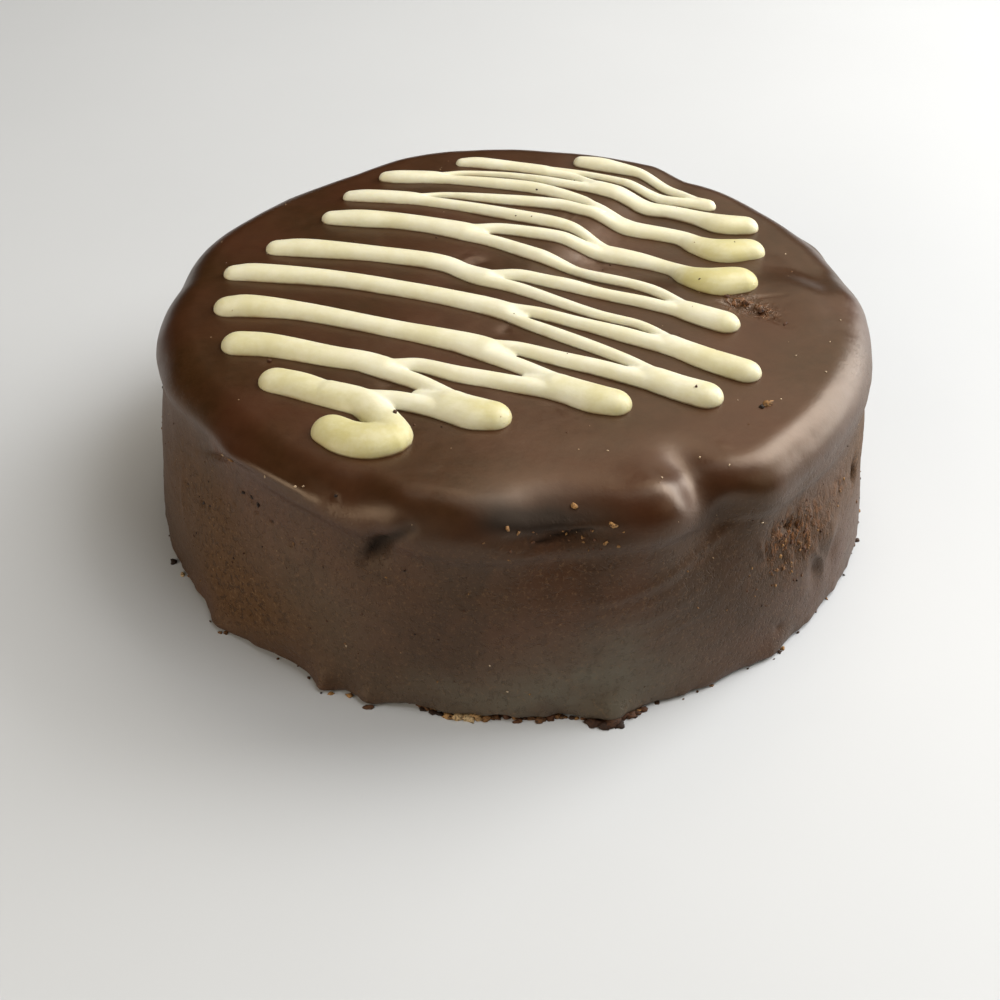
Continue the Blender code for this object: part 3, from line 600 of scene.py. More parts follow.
def ring_faces(rings):
    """Faces between neighbouring rings, whose counts are equal, 1, or one twice the other."""
    faces = []
    start = 0
    for (_, _, count), (_, _, below) in zip(rings, rings[1:]):
        upper = [start + i % count for i in range(count + 1)]
        start += count
        lower = [start + i % below for i in range(below + 1)]
        if count == below:
            faces += [(upper[k], lower[k], lower[k + 1], upper[k + 1]) for k in range(count)]
        elif count == 1:
            faces += [(upper[0], lower[k], lower[k + 1]) for k in range(below)]
        elif below == 1:
            faces += [(upper[k], lower[0], upper[k + 1]) for k in range(count)]
        elif below == 2 * count:
            for k in range(count):
                a, b, c = lower[2 * k:2 * k + 3]
                faces += [(upper[k], a, b), (upper[k], b, upper[k + 1]), (upper[k + 1], b, c)]
        else:
            for k in range(below):
                a, b, c = upper[2 * k:2 * k + 3]
                faces += [(a, lower[k], b), (b, lower[k], lower[k + 1]), (b, lower[k + 1], c)]
    return faces


def add_object(name, data):
    obj = bpy.data.objects.new(name, data)
    bpy.context.scene.collection.objects.link(obj)
    return obj


def new_object(name, points, faces):
    """A smooth mesh object from points in mm."""
    mesh = bpy.data.meshes.new(name)
    mesh.from_pydata((np.asarray(points) * MM).tolist(), [], faces)
    mesh.shade_smooth()
    return add_object(name, mesh)


def joined(parts):
    """Points and faces of one mesh from those of several parts."""
    points = []
    faces = []
    first = 0
    for part_points, part_faces in parts:
        points.append(part_points)
        faces += [[first + i for i in face] for face in part_faces]
        first += len(part_points)
    return np.vstack(points), faces


def read_vertices(mesh, what):
    """One row a vertex (n, 3): its place, "co", in metres, or its "normal"."""
    flat = np.empty(len(mesh.vertices) * 3, np.float32)
    mesh.vertices.foreach_get(what, flat)
    return flat.reshape(-1, 3).astype(float)


def get_points(mesh):
    """The vertices in mm."""
    return read_vertices(mesh, "co") / MM


def set_points(mesh, points):
    mesh.vertices.foreach_set("co", (points * MM).astype(np.float32).ravel())
    mesh.update()


def add_mask(mesh, name, values):
    """Stores one number a vertex, for the material to read."""
    layer = mesh.attributes.new(name, "FLOAT", "POINT")
    layer.data.foreach_set("value", np.asarray(values, np.float32))


def on_side(angle, z):
    """Point on the uneven side at an angle and a height, mm."""
    radius = float(edge_radius(np.float64(z)))
    turn = math.radians(angle)
    return uneven(np.array([[radius * math.cos(turn), radius * math.sin(turn), z]]))[0]


def on_top(x, y):
    """Point on the uneven top, mm."""
    return uneven(np.array([[x, y, HEIGHT]]))[0]


def stroke_distance(points, line):
    """Distance of points (n, 3) from a line through the given points, and how far along (0 to 1)."""
    nearest = np.full(len(points), np.inf)
    share = np.zeros(len(points))
    for i, (a, b) in enumerate(zip(line, line[1:])):
        run = b - a
        t = np.clip((points - a) @ run / (run @ run), 0.0, 1.0)
        away = np.linalg.norm(points - a - t[:, None] * run, axis=1)
        closer = away < nearest
        nearest[closer] = away[closer]
        share[closer] = (i + t[closer]) / (len(line) - 1)
    return nearest, share


def stroke_relief(points, line, half_width, height):
    """Relief of one ridge or groove that thins out to its ends."""
    away, share = stroke_distance(points, line)
    taper = np.sin(math.pi * np.clip(share, *STROKE_ENDS)) ** STROKE_POWER
    return height * taper * bell(away, half_width)


def side_patch(points, patches):
    """Sum of soft patches of the side: angle, z, along, up, strength."""
    angle, radius = polar(points)
    total = np.zeros(len(points))
    for centre, z, along, up, strength in patches:
        total += strength * bell(arc(angle, centre, RIM_RADIUS), along) * bell(points[:, 2] - z, up)
    return total * fade_in(radius, SIDE_PATCHES_FROM)


def top_patch(points, patches):
    """Sum of soft patches of the top: x, y, reach, strength."""
    total = np.zeros(len(points))
    for x, y, reach, strength in patches:
        total += strength * bell(np.hypot(points[:, 0] - x, points[:, 1] - y), reach)
    return total * fade_in(points[:, 2], TOP_PATCHES_FROM)


def coat_masks(points):
    """Where the coat is crumbly, porous and dull, and where sheen and shade are painted on it, each 0 to 1.
    """
    hollow = side_patch(points, PAINTED_SHADE) + top_patch(points, TOP_PAINTED_SHADE)
    for half_width, strength, knots in PAINTED_SHADE_LINES:
        hollow += stroke_relief(points, [on_side(*knot) for knot in knots], half_width, strength)
    masks = {
        "crumbly": side_patch(points, SIDE_CRUMBLY) + top_patch(points, TOP_CRUMBLY),
        "porous": side_patch(points, POROUS),
        "dull": top_patch(points, DULL),
        "painted_sheen": side_patch(points, PAINTED_SHEEN),
        "hollow": hollow,
    }
    return {name: np.clip(mask, 0.0, 1.0) for name, mask in masks.items()}


def smear_noise(points):
    """Long low marks that run round the side and rise a little to the right."""
    along = np.arctan2(points[:, 1], points[:, 0]) * RIM_RADIUS
    up = points[:, 2] - SMEAR_RISE * along
    return swells(np.column_stack((along, up, np.full(len(points), SMEARS_AT))), (*SMEAR_SIZES, 1.0))


def fine_relief(points, masks):
    """How far every point of the coat stands out of the uneven form, along its normal, mm."""
    _, radius = polar(points)
    smeared = fade_in(radius, SMEARS_FROM) * (1.0 - fade_in(points[:, 2], SMEARS_BELOW))
    relief = sum(height * swells(points + SWELLS_AT, size) for size, height in SWELLS)
    relief += SMEAR_HEIGHT * smeared * smear_noise(points)
    relief += (POROUS_RELIEF * masks["porous"] + DULL_RELIEF * masks["dull"]) * swells(points, POROUS_SIZE)
    relief += CRUMBLY_RELIEF * masks["crumbly"] * swells(points + CRUMBLY_AT, CRUMBLY_SIZES)
    for place, strokes, pits in ((on_side, SIDE_STROKES, SIDE_PITS), (on_top, TOP_STROKES, TOP_PITS)):
        for half_width, height, knots in strokes:
            relief += stroke_relief(points, [place(*knot) for knot in knots], half_width, height)
        for a, b, reach, depth in pits:
            relief -= depth * bell(np.linalg.norm(points - place(a, b), axis=1), reach)
    return relief


def foot_raggedness(points):
    """Moves the lower edge of the coat in and out and lifts it in places, mm."""
    angle, radius = polar(points)
    z = points[:, 2]
    level = points * RAGGED_FLAT
    low = bell(z, FOOT_RAGGED_REACH) * fade_in(radius, RAGGED_FROM)
    outwards = low * sum(height * swells(level + RAGGED_AT, size) for size, height in FOOT_RAGGED)
    lift = sum(rise * bell(arc(angle, centre, FOOT_RADIUS), along) for centre, along, rise in FOOT_LIFTS)
    size, middle, swing = LIFT_UNEVEN
    lift *= middle + swing * swells(level + LIFT_AT, size)
    edge = (z > UNDERSIDE) * bell(z, FOOT_LIFT_REACH)
    stretch = 1.0 + outwards / np.maximum(radius, 1.0)
    return np.column_stack((points[:, 0] * stretch, points[:, 1] * stretch, z + lift * edge))


def make_coat():
    """The milk chocolate coat: a turned grid, moved to its uneven form with its fine relief."""
    closing = foot_rings()
    underside = sum(count for _, _, count in closing)
    rings = coat_rings() + closing
    coat = new_object("chocolate_coat", uneven(ring_points(rings)), ring_faces(rings))
    points = get_points(coat.data)
    masks = coat_masks(points)
    relief = fine_relief(points, masks)
    relief[-underside:] = 0.0
    points += read_vertices(coat.data, "normal") * relief[:, None]
    points = foot_raggedness(points)
    points[:, 2] = np.maximum(points[:, 2], 0.0)
    set_points(coat.data, points)
    for name, mask in masks.items():
        add_mask(coat.data, name, mask)
    return coat


# ---- the piped line ----
def spline_points(knots, spacing):
    """A smooth curve through the knots (x, y, half width, height), as points a spacing apart."""
    knots = [np.array(knot) for knot in knots]
    ends = [2.0 * knots[0] - knots[1], *knots, 2.0 * knots[-1] - knots[-2]]
    points = []
    for i in range(1, len(ends) - 2):
        p0, p1, p2, p3 = ends[i - 1:i + 3]
        steps = max(1, round(float(np.hypot(*(p2 - p1)[:2])) / spacing))
        for k in range(steps):
            t = k / steps
            points.append(
                0.5 * (2.0 * p1 + (p2 - p0) * t + (2.0 * p0 - 5.0 * p1 + 4.0 * p2 - p3) * t ** 2
                       + (3.0 * p1 - p0 - 3.0 * p2 + p3) * t ** 3))
    points.append(ends[-2])
    return np.array(points)


def band_direction(band):
    """Unit direction in which a band runs into its fork."""
    run = np.subtract(band[-1][:2], band[-2][:2])
    return run / np.hypot(*run)


def beside(band, side, half):
    """Two knots of a run where it lies within a band: side is -1 in front and +1 behind."""
    along = band_direction(band)
    behind = np.array((-along[1], along[0])) * np.sign(along[0])
    knots = []
    for x, y, band_half in band[-2:]:
        place = np.array((x, y)) + side * (band_half - half) * behind
        knots.append((*place, half))
    return knots


def bead_height(half):
    """How high a bead of a half width stands above the top, mm."""
    return BEAD_HEIGHT * (half / BEAD_HALF_WIDTH) ** BEAD_POWER


def runs():
    """The knots of every run, front to back, with both ends within a band."""
    lines = [HOOK + beside(BANDS[0], -1.0, HOOK[-1][2])[::-1]]
    for number, (here, there, knots) in enumerate(zip(BANDS, BANDS[1:], RUNS)):
        if number % 2 == 1:
            knots = knots[::-1]
        start = beside(here, 1.0, knots[0][2])
        finish = beside(there, -1.0, knots[-1][2])[::-1]
        lines.append(start + knots + finish)
    lines.append(beside(BANDS[-1], 1.0, END[0][2]) + END)
    return [[(x, y, half, bead_height(half)) for x, y, half in line] for line in lines]


def bands():
    """The knots of every band, which sinks to its fork and runs out between its two runs."""
    lines = []
    for number, band in enumerate(BANDS):
        line = []
        for i, (x, y, half) in enumerate(band):
            low = FORK_LOW * i / (len(band) - 1)
            if i == 0 and number % 2 == 0:
                low = LEFT_TIP_LOW
            line.append((x, y, half, bead_height(half * (1.0 - low))))
        x, y, half = band[-1]
        along = band_direction(band)
        for far, wide, high in BAND_TAPER:
            place = np.array((x, y)) + far * half * along
            line.append((*place, wide * half, bead_height(high * half)))
        lines.append(line)
    return lines


def natural_line(knots, number):
    """A bead's points with the slight swells and wander of a line piped by hand."""
    line = spline_points(knots, BEAD_SPACING)
    layer = np.full(len(line), BEAD_LAYERS * number)
    size, share = BEAD_SWELLS
    line[:, 2] *= 1.0 + share * swells(np.column_stack((line[:, :2], layer)), size)
    size, sideways = BEAD_WANDER
    line[:, 1] += sideways * swells(np.column_stack((line[:, :2], WANDER_LAYER + layer)), size)
    return line


def bead_rings(line):
    """Centre x, y, half width, height and full half width along a bead with rounded ends."""
    rings = [(*p, p[2]) for p in line]
    before, after = [], []
    for ends, tip, inner in ((before, line[0], line[1]), (after, line[-1], line[-2])):
        along = tip[:2] - inner[:2]
        along /= np.hypot(*along)
        for share in ROUND_ENDS:
            ring = math.sqrt(1.0 - share ** 2)
            place = tip[:2] + along * tip[2] * share
            ends.append((*place, tip[2] * ring, tip[3] * ring, tip[2]))
    return np.array(before[::-1] + rings + after)


def bead_mesh(line):
    """Points, faces and rings of one bead: a closed tube that reaches a little into the coat."""
    rings = bead_rings(line)
    along = np.gradient(rings[:, :2], axis=0)
    along /= np.hypot(*along.T)[:, None]
    across = np.column_stack((-along[:, 1], along[:, 0]))
    turn = 2.0 * math.pi * np.arange(BEAD_SIDES) / BEAD_SIDES
    points = []
    for (x, y, half, height, _), side in zip(rings, across):
        place = np.column_stack((x + half * np.cos(turn) * side[0], y + half * np.cos(turn) * side[1]))
        above = np.maximum(height * np.sin(turn), -BEAD_SUNK)
        points.append(np.column_stack((place, HEIGHT + top_relief(*place.T) + above)))
    faces = []
    last = (len(rings) - 1) * BEAD_SIDES
    for a in range(0, last, BEAD_SIDES):
        b = a + BEAD_SIDES
        for k in range(BEAD_SIDES):
            beyond = (k + 1) % BEAD_SIDES
            faces.append((a + k, a + beyond, b + beyond, b + k))
    faces.append(range(BEAD_SIDES - 1, -1, -1))
    faces.append(range(last, last + BEAD_SIDES))
    return np.vstack(points), faces, rings


def evaluated_mesh(obj):
    bpy.context.view_layer.update()
    graph = bpy.context.evaluated_depsgraph_get()
    return bpy.data.meshes.new_from_object(obj.evaluated_get(graph))


def apply_modifiers(obj):
    old = obj.data
    mesh = evaluated_mesh(obj)
    obj.modifiers.clear()
    obj.data = mesh
    bpy.data.meshes.remove(old)
    mesh.name = obj.name


def fused_smooth(obj):
    """Fuses the overlapping beads into one skin and rounds the creases between them."""
    remesh = obj.modifiers.new("Fuse", "REMESH")
    remesh.mode = "VOXEL"
    remesh.voxel_size = BEAD_VOXEL * MM
    smooth = obj.modifiers.new("Smooth", "SMOOTH")
    smooth.factor, smooth.iterations = BEAD_SMOOTHING
    apply_modifiers(obj)
    triangles = sum(len(face.vertices) - 2 for face in obj.data.polygons)
    if triangles > BEAD_TRIANGLES:
        decimate = obj.modifiers.new("Fewer", "DECIMATE")
        decimate.ratio = BEAD_TRIANGLES / triangles
        apply_modifiers(obj)
    obj.data.shade_smooth()


def local_thickness(skin, samples):
    """Mean half width of the beads near every point of the skin, from samples (x, y, half width)."""
    tree = kdtree.KDTree(len(samples))
    for i, (x, y, _) in enumerate(samples):
        tree.insert((x, y, 0.0), i)
    tree.balance()
    thickness = []
    for x, y, _ in skin:
        near = tree.find_n((x, y, 0.0), BEAD_NEAR)
        share = [math.exp(-((away / BEAD_NEAR_REACH) ** 2)) for _, _, away in near]
        thickness.append(sum(samples[i][2] * w for (_, i, _), w in zip(near, share)) / sum(share))
    return thickness


def make_piping():
    """The piped white chocolate as one skin."""
    beads = [bead_mesh(natural_line(knots, number)) for number, knots in enumerate(runs() + bands())]
    piping = new_object("white_chocolate_piping", *joined([bead[:2] for bead in beads]))
    fused_smooth(piping)
    skin = get_points(piping.data)
    samples = [(x, y, half) for bead in beads for x, y, _, _, half in bead[2]]
    add_mask(piping.data, "thickness", local_thickness(skin, samples))
    add_mask(piping.data, "above", skin[:, 2] - HEIGHT - top_relief(skin[:, 0], skin[:, 1]))
    return piping


# ---- crumbs and specks ----
def ball(detail):
    """Points and faces of an even ball of radius 1."""
    bm = bmesh.new()
    bmesh.ops.create_icosphere(bm, subdivisions=detail, radius=1.0)
    points = np.array([vertex.co for vertex in bm.verts])
    faces = [[vertex.index for vertex in face.verts] for face in bm.faces]
    bm.free()
    return points, faces


def surface_tree(pieces):
    """The surface of some pieces, in mm, for finding the place under a crumb."""
    parts = [(get_points(piece.data), [face.vertices for face in piece.data.polygons]) for piece in pieces]
    points, faces = joined(parts)
    return BVHTree.FromPolygons(points.tolist(), faces)


def side_spot(tree, angle, z):
    """Point and normal of the side at an angle and a height."""
    turn = math.radians(angle)
    outwards = Vector((math.cos(turn), math.sin(turn), 0.0))
    return tree.ray_cast(FAR_OUT * outwards + Vector((0.0, 0.0, z)), -outwards)[:2]


def foot_spot(tree, angle, away):
    """Point on the underside's level at a distance outside the foot, and the upward normal."""
    spot = side_spot(tree, angle, FOOT_LEVEL)[0]
    radius = math.hypot(spot.x, spot.y)
    return Vector((spot.x, spot.y, 0.0)) * (1.0 + away / radius), Vector((0.0, 0.0, 1.0))


def top_spot(tree, x, y):
    """Point and normal of the top, or of the piped line where it lies there."""
    return tree.ray_cast(Vector((x, y, FAR_OUT)), Vector((0.0, 0.0, -1.0)))[:2]


SPOTS = {"side": side_spot, "foot": foot_spot, "top": top_spot}


def with_kind(table):
    """All rows of a table in order, each with its kind of place before it."""
    return [(kind, *row) for kind, rows in table.items() for row in rows]


def scattered(groups, draw):
    """Places, sizes and tones of crumbs that are strewn at random within groups."""
    crumbs = []
    for kind, start, stop, low, high, count, sizes, tones in with_kind(groups):
        for _ in range(count):
            place = (draw.uniform(start, stop), draw.uniform(low, high))
            size = sizes[0] + (sizes[1] - sizes[0]) * draw.random() ** SMALL_OFTEN
            crumbs.append((kind, *place, size, draw.uniform(*tones)))
    return crumbs


def make_crumbs(name, tree, places, groups, seed):
    """Crumbs of one kind as one mesh: lumpy bits that sit a little sunk where they lie."""
    draw = random.Random(seed)
    shapes = {1: ball(1), 2: ball(2)}
    bits = []
    tones = []
    for kind, a, b, size, tone in with_kind(places) + scattered(groups, draw):
        turn = draw.uniform(0.0, 2.0 * math.pi)
        if kind == "foot":
            turn = math.radians(a + 90.0 + draw.gauss(0.0, FOOT_CRUMBS_TURNED))
        stretch = (1.0, draw.uniform(*CRUMB_WIDTH), draw.uniform(*CRUMB_FLAT))
        where = draw.uniform(0.0, CRUMB_NOISE_SPAN)
        if kind == "top" and math.hypot(a, b) > TOP_CRUMBS_WITHIN:
            continue
        spot, normal = SPOTS[kind](tree, a, b)
        shape, faces = shapes[2 if size > LARGE_CRUMB else 1]
        lumpy = 1.0 + CRUMB_LUMPS * swells(shape + where, CRUMB_LUMP_SIZE)
        frame = np.array(normal.to_track_quat("Z", "Y").to_matrix() @ Matrix.Rotation(turn, 3, "Z"))
        bit = size * lumpy[:, None] * shape * stretch + (0.0, 0.0, CRUMB_UP * size * stretch[2])
        bits.append((bit @ frame.T + np.array(spot), faces))
        tones += [tone] * len(shape)
    points, faces = joined(bits)
    crumbs = new_object(name, np.maximum(points, (-np.inf, -np.inf, 0.0)), faces)
    add_mask(crumbs.data, "tone", tones)
    return crumbs


# ---- materials ----
def srgb(red, green, blue):
    """Linear colour of an sRGB colour given as 0 to 255."""
    parts = (np.array((red, green, blue)) / 255.0 + 0.055) / 1.055
    return (*(parts ** 2.4), 1.0)


def all_linear(colours):
    return {name: srgb(*colour) for name, colour in colours.items()}


COAT_MASKS = ("crumbly", "porous", "dull", "painted_sheen", "hollow")
COAT_COLOURS = {
    "cocoa": (52, 33, 15), "reddish": (66, 38, 23), "mottled": (76, 48, 29), "darker": (44, 27, 14),
    # The pale grey sheen on the next line is a painted reflection of the floor.
    "painted sheen": (88, 84, 73), "dull": (112, 88, 76), "porous": (82, 54, 24), "pale grain": (128, 96, 66),
    # The last colour on the next line is painted shade.
    "dark grain": (34, 20, 12), "crumb shade": (34, 20, 13), "crumb": (142, 92, 52), "hollow": (20, 13, 10),
}
PIPING_COLOURS = {
    "milky": (228, 226, 204), "creamy": (220, 216, 186), "thick": (197, 189, 133), "tanned": (150, 106, 58),
    # This colour paints the contact shade along the foot of each bead.
    "darker": (96, 66, 36),
}
THICK_COATING = (46.0, 60.0)    # the coating gets thick between these heights, mm


class Nodes:
    """Builds a material's nodes with short calls."""

    def __init__(self, name):
        self.material = bpy.data.materials.new(name)
        self.material.use_nodes = True
        self.tree = self.material.node_tree
        self.shader = self.tree.nodes["Principled BSDF"]
        self.place = self.add("ShaderNodeTexCoord", "Object", {})

    def fill(self, node, inputs):
        """Sets a node's inputs to values, or links them to outputs of other nodes."""
        for name, source in inputs.items():
            if isinstance(source, bpy.types.NodeSocket):
                self.tree.links.new(source, node.inputs[name])
            else:
                node.inputs[name].default_value = source

    def add(self, kind, output, inputs, **settings):
        """Adds a node and gives one of its outputs."""
        node = self.tree.nodes.new(kind)
        for name, value in settings.items():
            setattr(node, name, value)
        self.fill(node, inputs)
        return node.outputs[output]

    def mask(self, name):
        return self.add("ShaderNodeAttribute", "Fac", {}, attribute_name=name)

    def height(self):
        """Height above the underside, in metres."""
        return self.add("ShaderNodeSeparateXYZ", "Z", {"Vector": self.place})

    def noise(self, size, detail=2.0, roughness=0.5, stretch=None):
        """Noise with features of a size in mm."""
        place = self.place
        if stretch:
            place = self.add("ShaderNodeMapping", "Vector", {"Vector": place, "Scale": stretch})
        inputs = {"Vector": place, "Scale": 1.0 / (size * MM), "Detail": detail, "Roughness": roughness}
        return self.add("ShaderNodeTexNoise", "Fac", inputs)

    def ramp(self, value, low, high):
        """0 at low and 1 at high, smooth between."""
        inputs = {"Value": value, "From Min": low, "From Max": high}
        return self.add("ShaderNodeMapRange", "Result", inputs, interpolation_type="SMOOTHSTEP")

    def span(self, value, low, high):
        """Low where value is 0 and high where it is 1."""
        return self.add("ShaderNodeMapRange", "Result", {"Value": value, "To Min": low, "To Max": high})

    def maths(self, operation, a, b):
        return self.add("ShaderNodeMath", "Value", {0: a, 1: b}, operation=operation)

    def times(self, a, b):
        return self.maths("MULTIPLY", a, b)

    def mix(self, factor, a, b):
        """Colour a where factor is 0 and colour b where it is 1."""
        return self.add("ShaderNodeMix", 2, {"Factor": factor, 6: a, 7: b}, data_type="RGBA")

    def tinted(self, colour, tints):
        """A colour with tints laid over it in turn, each with its share."""
        for share, tint in tints:
            colour = self.mix(share, colour, tint)
        return colour

    def bumps(self, reliefs):
        """Bumps over one another: each a height and the depth in mm that a height of 1 stands for."""
        normal = {}
        for height, depth in reliefs:
            inputs = {"Height": height, "Distance": depth * MM, "Strength": 1.0, **normal}
            normal = {"Normal": self.add("ShaderNodeBump", "Normal", inputs)}
        return normal["Normal"]

    def finish(self, inputs):
        """The material, with its shader's inputs set or linked."""
        self.fill(self.shader, inputs)
        return self.material


def chocolate_material():
    """Satin milk chocolate: pored on the side, brown and rough where crumb shows, with painted sheen and
    shade.
    """
    n = Nodes("milk_chocolate")
    tint = all_linear(COAT_COLOURS)
    crumbly, porous, dull, painted_sheen, hollow = [n.mask(name) for name in COAT_MASKS]
    thick = n.ramp(n.height(), THICK_COATING[0] * MM, THICK_COATING[1] * MM)
    thin = n.maths("SUBTRACT", 1.0, thick)
    clouds = n.ramp(n.noise(34.0, 3.0), 0.3, 0.7)
    mottle = n.ramp(n.noise(3.2, 4.0, 0.6), 0.3, 0.7)
    stains = n.ramp(n.noise(12.0, 5.0, 0.65, stretch=(1.0, 1.0, 0.7)), 0.42, 0.66)
    # A painted sheen: the pale floor's reflection, painted low on the side and mottled.
    mottled_sheen = n.times(painted_sheen, n.span(n.ramp(n.noise(16.0, 4.0, 0.6), 0.3, 0.65), 0.45, 1.0))
    pored = n.maths("MAXIMUM", porous, n.times(thin, 0.4))
    pale_grain = n.times(pored, n.ramp(n.noise(1.0, 3.0, 0.75), 0.54, 0.66))
    dark_grain = n.times(pored, n.ramp(n.noise(1.7, 3.0, 0.7), 0.48, 0.36))
    grain = n.noise(1.1, 4.0, 0.7, stretch=(1.0, 1.0, 0.5))
    crumb = n.times(crumbly, n.ramp(n.noise(2.2, 3.0, 0.65, stretch=(1.0, 1.0, 0.6)), 0.4, 0.6))
    colour = n.tinted(tint["cocoa"], [
        (clouds, tint["reddish"]),
        (n.span(mottle, 0.0, 0.3), tint["mottled"]),
        (n.times(stains, n.span(thick, 0.6, 0.2)), tint["darker"]),
        (mottled_sheen, tint["painted sheen"]),
        (n.times(dull, n.span(mottle, 0.1, 0.55)), tint["dull"]),
        (n.times(porous, 0.75), tint["porous"]),
        (n.times(pale_grain, 0.7), tint["pale grain"]),
        (n.times(dark_grain, 0.6), tint["dark grain"]),
        (crumb, n.mix(n.ramp(grain, 0.36, 0.64), tint["crumb shade"], tint["crumb"])),
        # Painted shade: darkens the hollows, the lip's underside and slopes turned away from the lights.
        (n.times(hollow, 0.95), tint["hollow"]),
    ])
    roughness = n.maths("SUBTRACT", n.span(n.noise(5.0, 4.0, 0.6), 0.42, 0.54), n.times(thick, 0.16))
    for share, more in ((crumb, 0.3), (porous, 0.3), (hollow, 0.4), (mottled_sheen, 0.1)):
        roughness = n.maths("ADD", roughness, n.times(share, more))
    normal = n.bumps([
        (n.noise(2.4, 3.0, 0.55), 0.05),
        (n.noise(0.35, 2.0, 0.5), 0.008),
        (n.times(thin, n.noise(1.6, 4.0, 0.7)), 0.16),
        (pale_grain, 0.12),
        (dark_grain, -0.25),
        (n.times(crumb, grain), 0.9),
    ])
    return n.finish({
        "Base Color": colour, "Roughness": roughness, "Normal": normal,
        "IOR": 1.6, "Specular Tint": (1.0, 0.80, 0.62, 1.0),
    })


def white_chocolate_material():
    """Satin white chocolate: yellower where it is thick, tanned at its thin lower edge, with painted shade
    where it meets the coat.
    """
    n = Nodes("white_chocolate")
    tint = all_linear(PIPING_COLOURS)
    thick = n.ramp(n.mask("thickness"), 2.6, 6.2)
    above = n.mask("above")
    cloud = n.ramp(n.noise(9.0, 4.0, 0.65), 0.3, 0.7)
    tanned = n.times(n.ramp(above, 1.0, 0.1), n.ramp(n.noise(6.0, 3.0, 0.6), 0.42, 0.66))
    colour = n.tinted(tint["milky"], [
        (cloud, tint["creamy"]),
        (n.times(thick, n.span(cloud, 0.6, 1.0)), tint["thick"]),
        (n.times(tanned, 0.45), tint["tanned"]),
        # Painted contact shade: darker along the very foot of each bead, where it meets the coat.
        (n.times(n.ramp(above, 0.45, 0.0), 0.75), tint["darker"]),
    ])
    return n.finish({
        "Base Color": colour,
        "Roughness": n.span(n.noise(3.0, 3.0, 0.6), 0.34, 0.5),
        "Normal": n.bumps([(n.noise(3.5, 3.0, 0.6), 0.09), (n.noise(0.5, 2.0, 0.5), 0.012)]),
        "IOR": 1.46, "Subsurface Weight": 0.2, "Subsurface Radius": (1.0, 0.8, 0.45),
        "Subsurface Scale": 1.0 * MM,
    })


def crumb_material(name, colours):
    """Dry crumb whose colour follows each crumb's own tone."""
    n = Nodes(name)
    tone = n.mask("tone")
    grain = n.noise(0.6, 3.0, 0.65)
    dark, brown, golden, pale = [srgb(*colour) for colour in colours]
    colour = n.tinted(dark, [
        (n.ramp(tone, 0.0, 0.4), brown),
        (n.ramp(tone, 0.4, 0.8), golden),
        (n.ramp(tone, 0.8, 1.0), pale),
        (n.ramp(grain, 0.55, 0.3), dark),
    ])
    normal = n.bumps([(grain, 0.25)])
    return n.finish({"Base Color": colour, "Roughness": n.span(grain, 0.6, 0.85), "Normal": normal})


# ---- the room ----
CAMERA_PLACE = (-0.003618, -0.391087, 0.301969)     # fitted to the photograph, metres
CAMERA_LENS = 57.63         # mm, as is the sensor's width
CAMERA_SENSOR = 36.0
CAMERA_NEAR = 0.01          # it sees nothing nearer than this, metres
CAMERA_TILT = 51.3264       # degrees up from straight down
CAMERA_ROLL = 0.985
FLOOR_SIDE = 4.0
FLOOR_FADE = (1.5, 0.7)     # the floor fades into the backdrop between these distances, in metres


def make_camera():
    data = bpy.data.cameras.new("camera")
    data.lens = CAMERA_LENS
    data.sensor_width = CAMERA_SENSOR
    data.clip_start = CAMERA_NEAR
    camera = add_object("camera", data)
    tilt = Matrix.Rotation(math.radians(CAMERA_TILT), 4, "X")
    roll = Matrix.Rotation(math.radians(CAMERA_ROLL), 4, "Z")
    camera.matrix_world = Matrix.Translation(CAMERA_PLACE) @ tilt @ roll
    bpy.context.scene.camera = camera


def floor_material():
    n = Nodes("pale_floor")
    away = n.add("ShaderNodeVectorMath", "Value", {0: n.place}, operation="LENGTH")
    return n.finish({
        "Base Color": n.mix(n.noise(120.0, 3.0), srgb(196, 200, 204), srgb(202, 206, 210)),
        "Roughness": 0.55,
        "Normal": n.bumps([(n.noise(4.0, 3.0), 0.02)]),
        "Alpha": n.ramp(away, *FLOOR_FADE),
    })


def make_floor():
    mesh = bpy.data.meshes.new("floor")
    bm = bmesh.new()
    bmesh.ops.create_grid(bm, x_segments=1, y_segments=1, size=0.5 * FLOOR_SIDE)
    bm.to_mesh(mesh)
    bm.free()
    floor = add_object("floor", mesh)
    mesh.materials.append(floor_material())


LIGHT_DISTANCE = 1.2
LIGHT_AIM = (0.0, 0.0, 0.03)
NEUTRAL = (1.0, 0.98, 0.95)
WARM = (1.0, 0.87, 0.70)
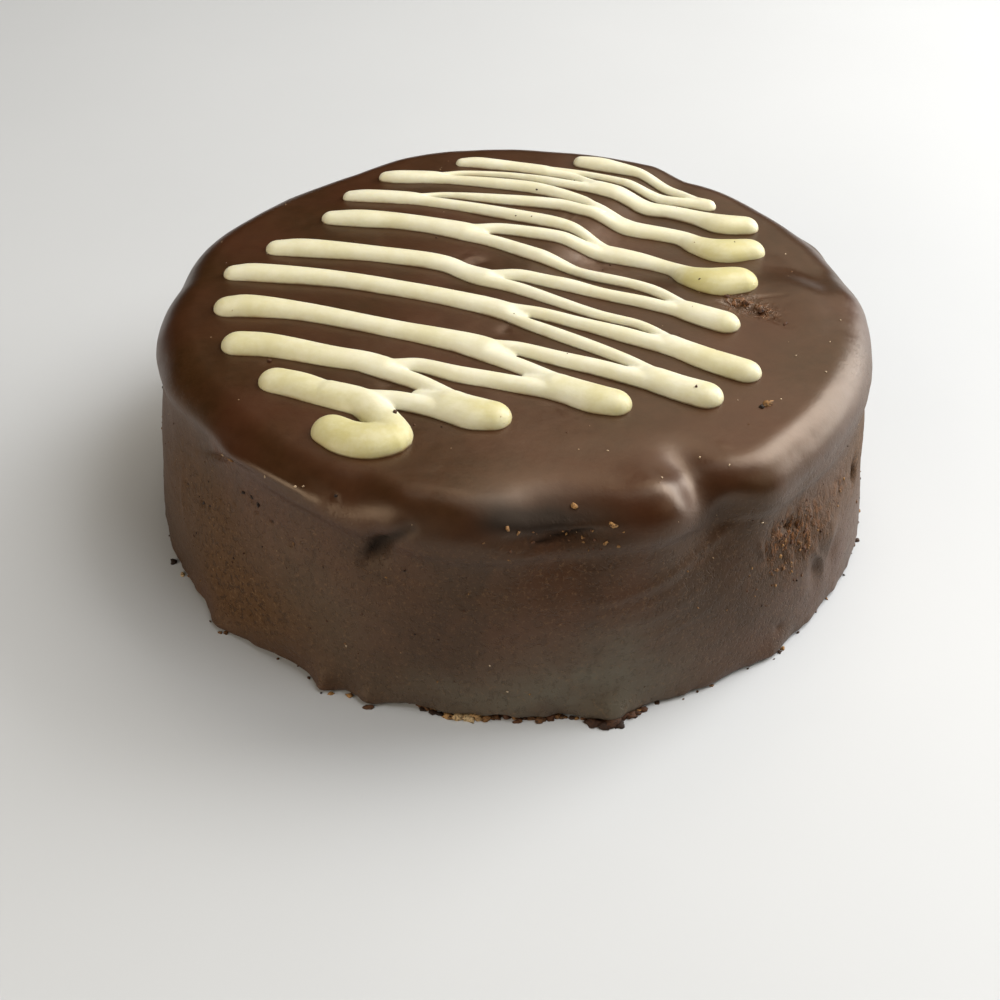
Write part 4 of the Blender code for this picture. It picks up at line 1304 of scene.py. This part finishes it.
# Soft lights: degrees from +Y towards +X, degrees up, width, height, radiance, colour.
LIGHTS = [
    ("high_right", 60.0, 56.0, 0.6, 0.6, 4.9, NEUTRAL),
    ("high_front", 120.0, 56.0, 0.6, 0.6, 4.4, NEUTRAL),
    ("high_back", 15.0, 58.0, 0.7, 0.6, 1.7, WARM),
    ("ceiling", 45.0, 84.0, 0.6, 0.6, 1.4, NEUTRAL),
    ("back", 20.0, 32.0, 0.6, 0.6, 0.8, WARM),
    ("right", 105.0, 32.0, 0.9, 0.5, 0.7, WARM),
    ("window", 66.0, 13.0, 0.9, 0.5, 6.0, NEUTRAL),
    ("middle_right", 62.0, 36.0, 0.7, 0.5, 7.0, NEUTRAL),
    ("low_left", -120.0, 14.0, 0.6, 0.6, 3.8, WARM),
    ("front_left", -150.0, 32.0, 0.6, 0.6, 2.6, WARM),
]
MATTE_LIGHTS = ("high_front", "front_left")     # these brighten, but are not mirrored
BACKDROP = (0.62, 0.63, 0.64, 1.0)    # seen behind the floor, but lights nothing


def soft_light(name, azimuth, elevation, width, height, radiance, colour):
    """A rectangular soft light that faces the cake."""
    data = bpy.data.lights.new(name, "AREA")
    data.shape = "RECTANGLE"
    data.size = width
    data.size_y = height
    data.energy = radiance * math.pi * width * height
    data.color = colour
    light = add_object(name, data)
    light.visible_glossy = name not in MATTE_LIGHTS
    around, up = math.radians(azimuth), math.radians(elevation)
    towards = Vector((math.sin(around) * math.cos(up), math.cos(around) * math.cos(up), math.sin(up)))
    light.location = Vector(LIGHT_AIM) + LIGHT_DISTANCE * towards
    light.rotation_euler = (-towards).to_track_quat("-Z", "Y").to_euler()


def make_lights():
    for light in LIGHTS:
        soft_light(*light)
    world = bpy.data.worlds.new("studio")
    world.use_nodes = True
    world.node_tree.nodes["Background"].inputs["Color"].default_value = BACKDROP
    world.cycles_visibility.diffuse = False
    world.cycles_visibility.glossy = False
    world.cycles_visibility.transmission = False
    bpy.context.scene.world = world
    bpy.context.scene.view_settings.view_transform = "Standard"


def main():
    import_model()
    make_camera()
    make_floor()
    make_lights()
    coat = make_coat()
    coat.data.materials.append(chocolate_material())
    piping = make_piping()
    piping.data.materials.append(white_chocolate_material())
    tree = surface_tree((coat, piping))
    crumbs = make_crumbs("crumbs", tree, CRUMBS, CRUMB_GROUPS, CRUMB_SEED)
    crumbs.data.materials.append(crumb_material("cake_crumb", CRUMB_COLOURS))
    specks = make_crumbs("pale_specks", tree, SPECKS, SPECK_GROUPS, SPECK_SEED)
    specks.data.materials.append(crumb_material("pale_speck", SPECK_COLOURS))
    slots = {coat: "chocolate", piping: "white_chocolate", crumbs: "crumb", specks: "crumb"}
    for piece, slot in slots.items():
        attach(piece, "root")
    for piece in (coat, piping):
        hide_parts("cake")


main()
